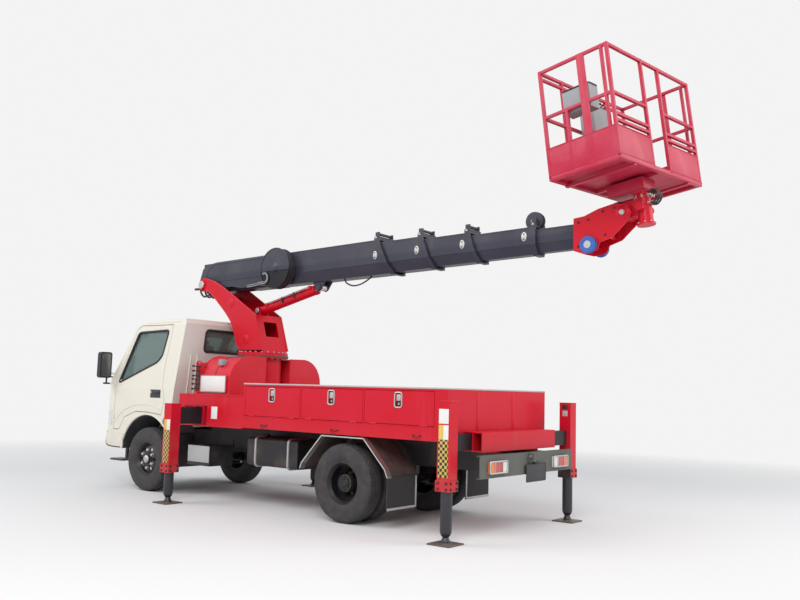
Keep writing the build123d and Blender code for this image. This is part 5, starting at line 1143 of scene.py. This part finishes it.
LEVEL_PIN = (-2.641, 3.019)
ROLLER = (-2.314, 2.742)
ROLLER_FACE = HEAD_Y + 0.0463
HEAD_BOLTS = ((-2.20, 2.74), (-2.20, 2.97), (-2.30, 2.99), (-2.445, 3.05), (-2.47, 2.83), (-2.56, 3.07))


def boom(points):
    """Points of the boom's own frame (x back from its pivot towards the cab), put into the frame."""
    return leaned(points, BOOM_PIVOT, BOOM_TURN)


def section_size(number):
    """Half width, bottom and top of one boom section in the boom's frame."""
    return 0.150 - number * 0.016, -0.102 + number * 0.011, 0.285 - number * 0.028


def collars():
    """Behind each section's collar: a bright oval pad cover with two bolts each side, and adjusting screws."""
    z = 0.112
    for number, (tip, slant) in enumerate(BOOM_TIPS):
        body = f"boom_{number + 1}"
        half, low, high = section_size(number)
        x = -tip + slant * (z - low) / (high - low) + 0.135
        for word, side in SIDES:
            points, faces = turned([(0, 0.007), (0.022, 0.007), (0.027, 0.004), (0.028, 0), (0, 0)], (0, 0, 0), side,
                                   32)
            piece(f"pad_covers_{number + 1}_{word}", body, bright_steel,
                  (points * (1.1, 1, 1.7) + boom((x, side * half, z)), faces))
            bolts = [turned([(0, 0.013), (0.007, 0.011), (0.007, 0), (0, 0)],
                            boom((x, side * (half + 0.004), z + dz)), side, 6) for dz in (-0.026, 0.026)]
            piece(f"pad_bolts_{number + 1}_{word}", body, chassis_black, *bolts)
        top = [turned([(0, 0.022), (0.010, 0.022), (0.010, 0.010), (0.016, 0.010), (0.016, 0), (0, 0)],
                      boom((-tip + slant + 0.030, end * (half + 0.004), high + 0.016)), 1, 6, "z") for end in (-1, 1)]
        piece(f"pad_screws_{number + 1}", body, bright_steel, *top)


def boom_seams():
    """Weld lines along the top edges and the side creases of each boom section."""
    for number, (front, back) in enumerate(zip(BOOM_FRONTS, BOOM_BACKS)):
        half, low, high = section_size(number)
        seams = [tube(boom([(x, side * (half - 0.001), z) for x in (front, (front + back) / 2, back)]), 0.0045, "z",
                      sides=6) for _, side in SIDES for z in (high - 0.012, low + 0.122 - number * 0.008)]
        piece(f"boom_seams_{number + 1}", f"boom_{number + 1}", boom_paint, *seams)


def boom_hoses():
    """Black hose loops round the tail, pale lines under the tail cover, and a loop that hangs under the boom."""
    loops, fittings = [], []
    for number in range(4):
        y, sunk = -0.10 + number * 0.075, number * 0.02
        route = [(0.050, y, 0.170 - sunk), (0.112, y, 0.140), (0.137, y + 0.01, 0.02), (0.118, y + 0.02, -0.085),
                 (0.030, y + 0.03, -0.150), (-0.090, y + 0.03, -0.128)]
        loops.append(tube(eased(boom(route)), 0.013, sides=10))
        fittings.append(turned([(0, -0.02), (0.017, -0.02), (0.017, 0.012), (0.012, 0.022), (0, 0.022)],
                               boom((0.052, y, 0.172 - sunk)), 1, 6, "x"))
    piece("tail_hoses", "boom_1", hose_rubber, *loops)
    piece("tail_fittings", "boom_1", bright_steel, *fittings)
    lever = boom([(0.02, 0.120, -0.045), (0.14, 0.124, -0.035), (0.27, 0.128, -0.030)])
    piece("tail_lever", "boom_1", chassis_black, tube(lever, 0.016, sides=10, flatten=0.6))
    drop = boom([(-2.40, 0.05, -0.100), (-2.43, 0.05, -0.150), (-2.53, 0.048, -0.190), (-2.65, 0.045, -0.180),
                 (-2.77, 0.043, -0.130), (-2.81, 0.042, -0.100)])
    piece("drop_hose", "boom_1", hose_rubber, tube(eased(drop), 0.009, sides=10))
    lines = []
    turn = np.radians(np.linspace(0, 210, 12))
    for y, low, size in ((0.279, -0.070, 0.050), (0.286, -0.092, 0.066)):
        bend = np.stack([-1.270 - size * np.sin(turn), np.full(12, y), low + size - size * np.cos(turn)], -1)
        route = [(-0.84, 0.178, low), (-0.96, 0.200, low), (-1.10, 0.245, low), (-1.19, y, low)] + bend.tolist()
        lines.append(tube(eased(boom(route), 90), 0.0065))
    piece("reel_lines", "boom_1", grey_plastic, *lines)


def tail_cover_details():
    """The tail cover's folded edge with its bolts, and the reel's hub, rim and hose."""
    loop = np.insert(rounded_loop(TAIL_PANEL, 0.03), 1, 0.1785, axis=1)
    for word, side in SIDES:
        piece(f"tail_panel_{word}", "boom_1", boom_paint, tube(boom(loop * (1, side, 1)), 0.005, closed=True))
        screws = [turned([(0, 0.005), (0.008, 0.003), (0.009, 0), (0, 0)], boom((x, side * 0.178, z)), side, 16)
                  for x, z in TAIL_SCREWS]
        piece(f"tail_screws_{word}", "boom_1", boom_paint, *screws)
    centre = boom((REEL[0], 0.270, REEL[1]))
    piece("reel_hub", "boom_1", boom_paint, turned(REEL_HUB, centre))
    lip = boom([(REEL[0] + along, 0.270, 0.060) for along in (0.244, 0, -0.244)])
    piece("reel_rim", "boom_1", boom_paint, tube(circle(centre, 0.246, 96), 0.008, closed=True), tube(lip, 0.007))
    wound = np.linspace(0, 2 * np.pi * 5, 480)
    coil = np.stack([0.226 * np.cos(wound), 0.178 + 0.068 * wound / wound[-1], 0.226 * np.sin(wound)], -1)
    piece("reel_hose", "boom_1", hose_rubber, tube(coil + boom((REEL[0], 0, REEL[1])), 0.0075))


def boom_pulley():
    """The cable pulley over the fourth section's collar: a grooved wheel and the caps of its pin."""
    x, z = -4.906, section_size(3)[2] + 0.072
    piece("pulley_wheel", "boom_4", seal_rubber, turned(PULLEY, boom((x, 0, z)), 1, 64))
    piece("pulley_caps", "boom_4", bright_steel,
          *[turned(button(0.010, 0.026, 0.030, 0.005), boom((x, side * 0.036, z)), side, 28) for _, side in SIDES])


def head_details():
    """The boom head: pin plates and rows of bolts on its cheeks, roller hubs, and the levelling cylinder's hoses."""
    for word, side in SIDES:
        piece(f"level_plate_{word}", "boom_5", red,
              turned(button(0.006, 0.058, 0.064, 0.003), beside(LEVEL_PIN, side * HEAD_Y), side, 40))
        piece(f"level_pin_{word}", "boom_5", bright_steel,
              turned(button(0.022, 0.022, 0.027, 0.016), beside(LEVEL_PIN, side * (HEAD_Y + 0.006)), side, 32))
        bolts = [turned([(0, 0.012), (0.011, 0.010), (0.012, 0), (0, 0)], beside(spot, side * HEAD_Y), side, 6)
                 for spot in HEAD_BOLTS]
        piece(f"head_bolts_{word}", "boom_5", chassis_black, *bolts)
        piece(f"roller_hub_{word}", "boom_5", grey_sheet,
              turned(button(0.010, 0.020, 0.036, 0.004), beside(ROLLER, side * (ROLLER_FACE - 0.001)), side, 32))
        lips = [circle(beside(ROLLER, side * (ROLLER_FACE - sunk)), 0.0765, 64) for sunk in (0.006, 0.040)]
        piece(f"roller_lips_{word}", "boom_5", roller_blue, *[tube(lip, 0.004, closed=True) for lip in lips])
    route = ((-2.26, 2.985), (-2.36, 3.035), (-2.50, 3.118), (-2.585, 3.132), (-2.64, 3.095))
    piece("head_hoses", "boom_5", hose_rubber,
          *[tube(eased(flat("y", route, y), 50), 0.009) for y in (-0.045, -0.020, 0.022)])


# Cage

CAGE_FOOT = (-3.260, 3.308)
CAGE_PITCH = math.radians(7.3)
CAGE_TURN = math.radians(-7.6)
ROTATOR_X = -0.130
CAGE_HALF = (0.3695, 0.7295)
CAGE_TOP = 1.061
SHEET_TOP = 0.300
ENTRY = (-0.140, 0.161)
CONSOLE_X = 0.1772
CONSOLE_TOP = 0.81782
CAGE_POSTS = [  # x and y of a post's middle, its width along x and y, its top
    *[(x, side * y, wide, deep, top) for x, y, wide, deep, top in (
        (-0.3545, 0.7145, 0.030, 0.030, 1.061), (0.3545, 0.7145, 0.030, 0.030, 1.061),
        (-0.2985, 0.7145, 0.026, 0.030, 1.061), (-0.087, 0.7225, 0.080, 0.014, 1.061),
        (0.111, 0.7145, 0.030, 0.030, 0.615), (0.3545, 0.380, 0.030, 0.030, 1.061)) for side in (-1, 1)],
    *[(-0.3545, y, 0.030, 0.030, 1.061) for y in ENTRY]]


def pitched(points):
    """Points of the cage's frame before it is turned on the rotator: the bracket's frame."""
    return leaned(points, CAGE_FOOT, CAGE_PITCH)


def cage(points):
    """Points of the cage's own frame, turned on its rotator, pitched with its bracket, and put into the frame."""
    x, y, z = np.moveaxis(np.array(points, float), -1, 0)
    across, cos, sin = x - ROTATOR_X, math.cos(CAGE_TURN), math.sin(CAGE_TURN)
    return pitched(np.stack([across * cos - y * sin + ROTATOR_X, across * sin + y * cos, z], -1))


def cage_block(x0, x1, y0, y1, z0, z1, radius=0.003):
    """A rounded block in the cage's own frame."""
    points, faces = rounded_block((x0, y0, z0), (x1, y1, z1), radius)
    return cage(points), faces


def cage_body():
    """The cage with its slim tubes: floor on ribs, posts, rails, foot sheets, an entry behind, and its mount."""
    half_x, half_y = CAGE_HALF
    rim_x, rim_y = half_x - 0.0008, half_y - 0.0008
    low_x, low_y = half_x - 0.0292, half_y - 0.0292
    long_y = rim_y - 0.002
    parts = [cage_block(-rim_x, rim_x, -rim_y, rim_y, 0.034, 0.0417)]
    parts += [cage_block(x, x + 0.042, -half_y, half_y, 0, 0.041) for x in (-half_x, half_x - 0.042)]
    parts += [cage_block(-rim_x, rim_x, y, y + 0.042, 0.0005, 0.0405) for y in (-rim_y, -0.021, rim_y - 0.042)]
    parts += [cage_block(x - wide / 2, x + wide / 2, y - deep / 2, y + deep / 2, 0.02, top)
              for x, y, wide, deep, top in CAGE_POSTS]
    for z in (0.615, CAGE_TOP - 0.0008):
        parts += [cage_block(-rim_x + 0.002, rim_x - 0.002, side * low_y, side * rim_y, z - 0.0284, z)
                  for _, side in SIDES]
        parts.append(cage_block(low_x, rim_x, -long_y, long_y, z - 0.029, z - 0.0006))
    parts.append(cage_block(-rim_x, -low_x, -long_y, long_y, CAGE_TOP - 0.030, CAGE_TOP - 0.0015))
    parts.append(cage_block(low_x, rim_x, -long_y, long_y, 0.975, 1.001))
    for y0, y1 in ((-long_y, ENTRY[0]), (ENTRY[1], long_y)):
        parts += [cage_block(-rim_x, -low_x, y0, y1, z - 0.028, z) for z in (0.615, 0.424, 0.365)]
        parts.append(cage_block(-half_x + 0.002, -half_x + 0.007, y0, y1, 0.038, SHEET_TOP))
    parts += [cage_block(-half_x, half_x, side * (half_y - 0.007), side * (half_y - 0.002), 0.038, SHEET_TOP)
              for _, side in SIDES]
    parts.append(cage_block(half_x - 0.007, half_x - 0.002, -half_y, half_y, 0.038, SHEET_TOP))
    parts.append(cage_block(-0.210, 0.170, -0.110, 0.110, -0.111, 0.001, 0.006))
    mount = [(0, -0.1297), (0.094, -0.1297), (0.098, -0.126), (0.098, -0.113), (0.094, -0.1098), (0, -0.1098)]
    points, faces = turned(mount, (ROTATOR_X, 0, 0), 1, 40, "z")
    parts.append((cage(points), faces))
    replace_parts(piece("cage_body", "cage", cage_red, *parts), "cage_frame")


def cage_details():
    """The cage's floor slats, the channels below it, the folded edges of its sheets, and their rivets."""
    half_x, half_y = CAGE_HALF
    slats = [cage_block(-half_x + 0.045, half_x - 0.045, y - 0.006, y + 0.006, 0.0418, 0.049, 0.002)
             for y in np.arange(-0.66, 0.67, 0.055)]
    piece("cage_slats", "cage", bright_steel, *slats)
    folds = [cage_block(-half_x + 0.01, half_x - 0.01, y - 0.022, y + 0.022, -0.020, 0.002) for y in (-0.48, 0.48)]
    piece("cage_channels", "cage", cage_red, *folds)
    edges = []
    for z in (SHEET_TOP, 0.048):
        edges += [[(x, side * (half_y - 0.004), z) for x in (-half_x + 0.01, 0, half_x - 0.01)] for _, side in SIDES]
        edges += [[(-half_x + 0.004, y, z) for y in (y0, (y0 + y1) / 2, y1)]
                  for y0, y1 in ((-half_y + 0.01, ENTRY[0]), (ENTRY[1], half_y - 0.01))]
    piece("cage_sheet_edges", "cage", cage_red, *[tube(cage(line), 0.007, "z") for line in edges])
    rivets = [turned([(0, 0.006), (0.006, 0.004), (0.007, 0), (0, 0)], cage((x, side * (half_y - 0.003), 0.270)),
                     side, 12) for x in np.linspace(-0.31, 0.31, 6) for _, side in SIDES]
    piece("cage_rivets", "cage", cage_red, *rivets)


def cage_fittings():
    """On the cage: the control box's lid with levers and a stop button, a tool tray's rim, and two hoses."""
    x, top = CONSOLE_X, CONSOLE_TOP
    piece("console_lid", "cage", dark_plastic,
          cage_block(x - 0.004, x + 0.150, -0.164, 0.164, top - 0.002, top + 0.008, 0.004))
    sticks, knobs = [], []
    for y in (-0.11, -0.055, 0.0, 0.055, 0.11):
        foot, tip = cage([(x + 0.06, y, top + 0.006), (x + 0.045, y, top + 0.075)])
        sticks.append(tube([foot, (foot + tip) / 2 + (0.001, 0, 0), tip], 0.0045))
        knobs.append(turned([(0, -0.012), (0.009, -0.009), (0.0125, 0.001), (0.009, 0.010), (0, 0.013)], tip, 1, 16,
                            "z"))
    piece("console_sticks", "cage", bright_steel, *sticks)
    piece("console_knobs", "cage", seal_rubber, *knobs)
    stop = [(0, 0.026), (0.018, 0.025), (0.021, 0.019), (0.010, 0.014), (0.010, 0), (0, 0)]
    piece("console_stop", "cage", orange_knob, turned(stop, cage((x + 0.115, 0.0, top + 0.008)), 1, 24, "z"))
    tray = rounded_loop(rectangle(-0.120, 0.160, 0.548, 0.687), 0.02)
    rim = cage(np.insert(tray, 2, CAGE_TOP * 0.62 + 0.130, axis=1))
    piece("tray_rim", "cage", seal_rubber, tube(rim, 0.008, "z", closed=True))
    route = ((0.31, 0.10, 0.56), (0.325, 0.12, 0.40), (0.33, 0.16, 0.20), (0.33, 0.16, 0.075), (0.26, 0.14, 0.060))
    piece("cage_hoses", "cage", hose_rubber,
          *[tube(eased(cage(np.array(route) + (0, shift, 0)), 40), 0.010) for shift in (0.0, 0.028)])


def rotator_details():
    """Bolts round both flanges of the rotator, and its small worm housing with three hoses."""
    bolts = []
    for z, head in ((-0.412, -0.403), (-0.148, -0.180)):
        for a in 0.2 + np.arange(8) * np.pi / 4:
            spot = (ROTATOR_X + 0.074 * math.cos(a), 0.074 * math.sin(a))
            bolts.append(tube(pitched([(*spot, z), (*spot, head)]), 0.007, sides=6))
    piece("rotator_bolts", "bracket", bright_steel, *bolts)
    worm = pitched([(ROTATOR_X, y, -0.27) for y in (-0.14, 0, 0.14)])
    piece("rotator_worm", "bracket", red, tube(worm, 0.038, "z", sides=24))
    loops, ends = [], []
    for y in (-0.045, 0.0, 0.045):
        route = pitched([(-0.195, y, -0.235), (-0.245, y + 0.01, -0.245), (-0.290, y + 0.02, -0.205),
                         (-0.285, y + 0.02, -0.150), (-0.235, y + 0.01, -0.128), (-0.200, y, -0.160)])
        loops.append(tube(eased(route, 40), 0.009))
        ends += [tube(pitched([(x, y, z), (x - 0.03, y, z - 0.004)]), 0.014, sides=6)
                 for x, z in ((-0.185, -0.233), (-0.188, -0.158))]
    piece("rotator_hoses", "bracket", hose_rubber, *loops)
    piece("rotator_fittings", "bracket", bright_steel, *ends)


# Studio

CAMERA_PLACE = (-6.389, 7.278, 1.337)
CAMERA_YAW = math.radians(-51.48)
CAMERA_PITCH = math.radians(6.17)
CAMERA_ROLL = math.radians(1.59)
LIGHTS = [  # place, what it faces, width, power, colour
    ((-6.0, 9.5, 8.5), (0.0, 0.0, 1.6), 7.0, 700, (1.0, 0.985, 0.96)),
    ((7.0, 8.0, 9.0), (0.5, 0.0, 1.5), 8.0, 520, (0.96, 0.98, 1.0)),
    ((-9.0, -4.0, 6.5), (-1.0, 0.0, 1.8), 7.0, 400, (1.0, 0.99, 0.98)),
]


def studio():
    """A pale floor, soft lights, and a world that is white to the camera but dimmer to the object."""
    steps = np.linspace(0, 2 * np.pi, 96, endpoint=False)
    radius = np.array([0.02, 4, 12, 40, 120])[:, None]
    rings = np.stack([radius * np.cos(steps), radius * np.sin(steps), np.full((5, 96), -0.0005)], -1)
    ground = Finish("floor", "floor", Roughness=0.9, Specular_IOR_Level=0.0)
    reach = (ground.x * ground.x + ground.y * ground.y).reckon("POWER", 0.5)
    ground.vary("Alpha", ((12.5 - reach) / 6).limited())
    ground.vary("Base Color", ground.blend(ground.noise(0.6, 3) * 0.25, (0.83, 0.83, 0.825, 1), (0.80, 0.80, 0.795, 1)))
    mesh = bpy.data.meshes.new("floor")
    points, faces = skin(rings)
    mesh.from_pydata(points.tolist(), [], faces[:-1])
    mesh.materials.append(ground.material)
    thing_of("floor", mesh)
    for number, (place, target, width, power, colour) in enumerate(LIGHTS):
        lamp = bpy.data.lights.new(f"light_{number + 1}", "AREA")
        lamp.shape, lamp.size, lamp.energy, lamp.color = "DISK", width, power, colour
        thing = thing_of(lamp.name, lamp)
        thing.location = place
        thing.rotation_mode = "QUATERNION"
        thing.rotation_quaternion = (Vector(target) - Vector(place)).to_track_quat("-Z", "Y")
    world = bpy.data.worlds.new("world")
    world.use_nodes = True
    sky = Nodes(world.node_tree)
    camera_ray, glossy_ray, clear_ray = (sky.node("ShaderNodeLightPath", output=word)
                                         for word in ("Is Camera Ray", "Is Glossy Ray", "Is Transmission Ray"))
    lit = sky.node("ShaderNodeBackground", None, {"Color": (0.93, 0.95, 1.0, 1), "Strength": 0.56})
    seen = sky.node("ShaderNodeBackground", None, {"Color": (0.90, 0.90, 0.90, 1), "Strength": 1.0})
    mix = sky.node("ShaderNodeMixShader", None, {0: (camera_ray + glossy_ray + clear_ray).limited(), 1: lit, 2: seen})
    sky.feed(sky.tree.nodes["World Output"].inputs["Surface"], mix)
    bpy.context.scene.world = world
    bpy.context.scene.view_settings.view_transform = "Standard"


def camera():
    """The camera where the photograph was taken from, turned by its yaw, pitch and roll."""
    level = np.array([math.cos(CAMERA_YAW), math.sin(CAMERA_YAW), 0])
    ahead = level * math.cos(CAMERA_PITCH) + np.array([0, 0, math.sin(CAMERA_PITCH)])
    right = np.array([math.sin(CAMERA_YAW), -math.cos(CAMERA_YAW), 0])
    above = np.cross(right, ahead)
    rolled_right = right * math.cos(CAMERA_ROLL) + above * math.sin(CAMERA_ROLL)
    rolled_above = above * math.cos(CAMERA_ROLL) - right * math.sin(CAMERA_ROLL)
    lens = bpy.data.cameras.new("camera")
    lens.sensor_width = 36
    lens.lens = 37.79
    thing = thing_of("camera", lens)
    thing.matrix_world = Matrix(np.stack([rolled_right, rolled_above, -ahead], -1).tolist()).to_4x4()
    thing.location = CAMERA_PLACE
    bpy.context.scene.camera = thing


for build in (dress_nodes, wheels, cab_doors, wheel_arches, cab_windows, cab_body, seats, dashboard, front_fittings,
              locker_latches, body_trim, lamp_clusters, rear_plate, mudguard_trim, column_details, legs, hood_details,
              control_panel, lever_bank, tanks, skirt_beads, slewing_ring, pedestal_details, lift_cylinder_details,
              collars, boom_seams, boom_hoses, tail_cover_details, boom_pulley, head_details, cage_body, cage_details,
              cage_fittings, rotator_details, studio, camera):
    build()
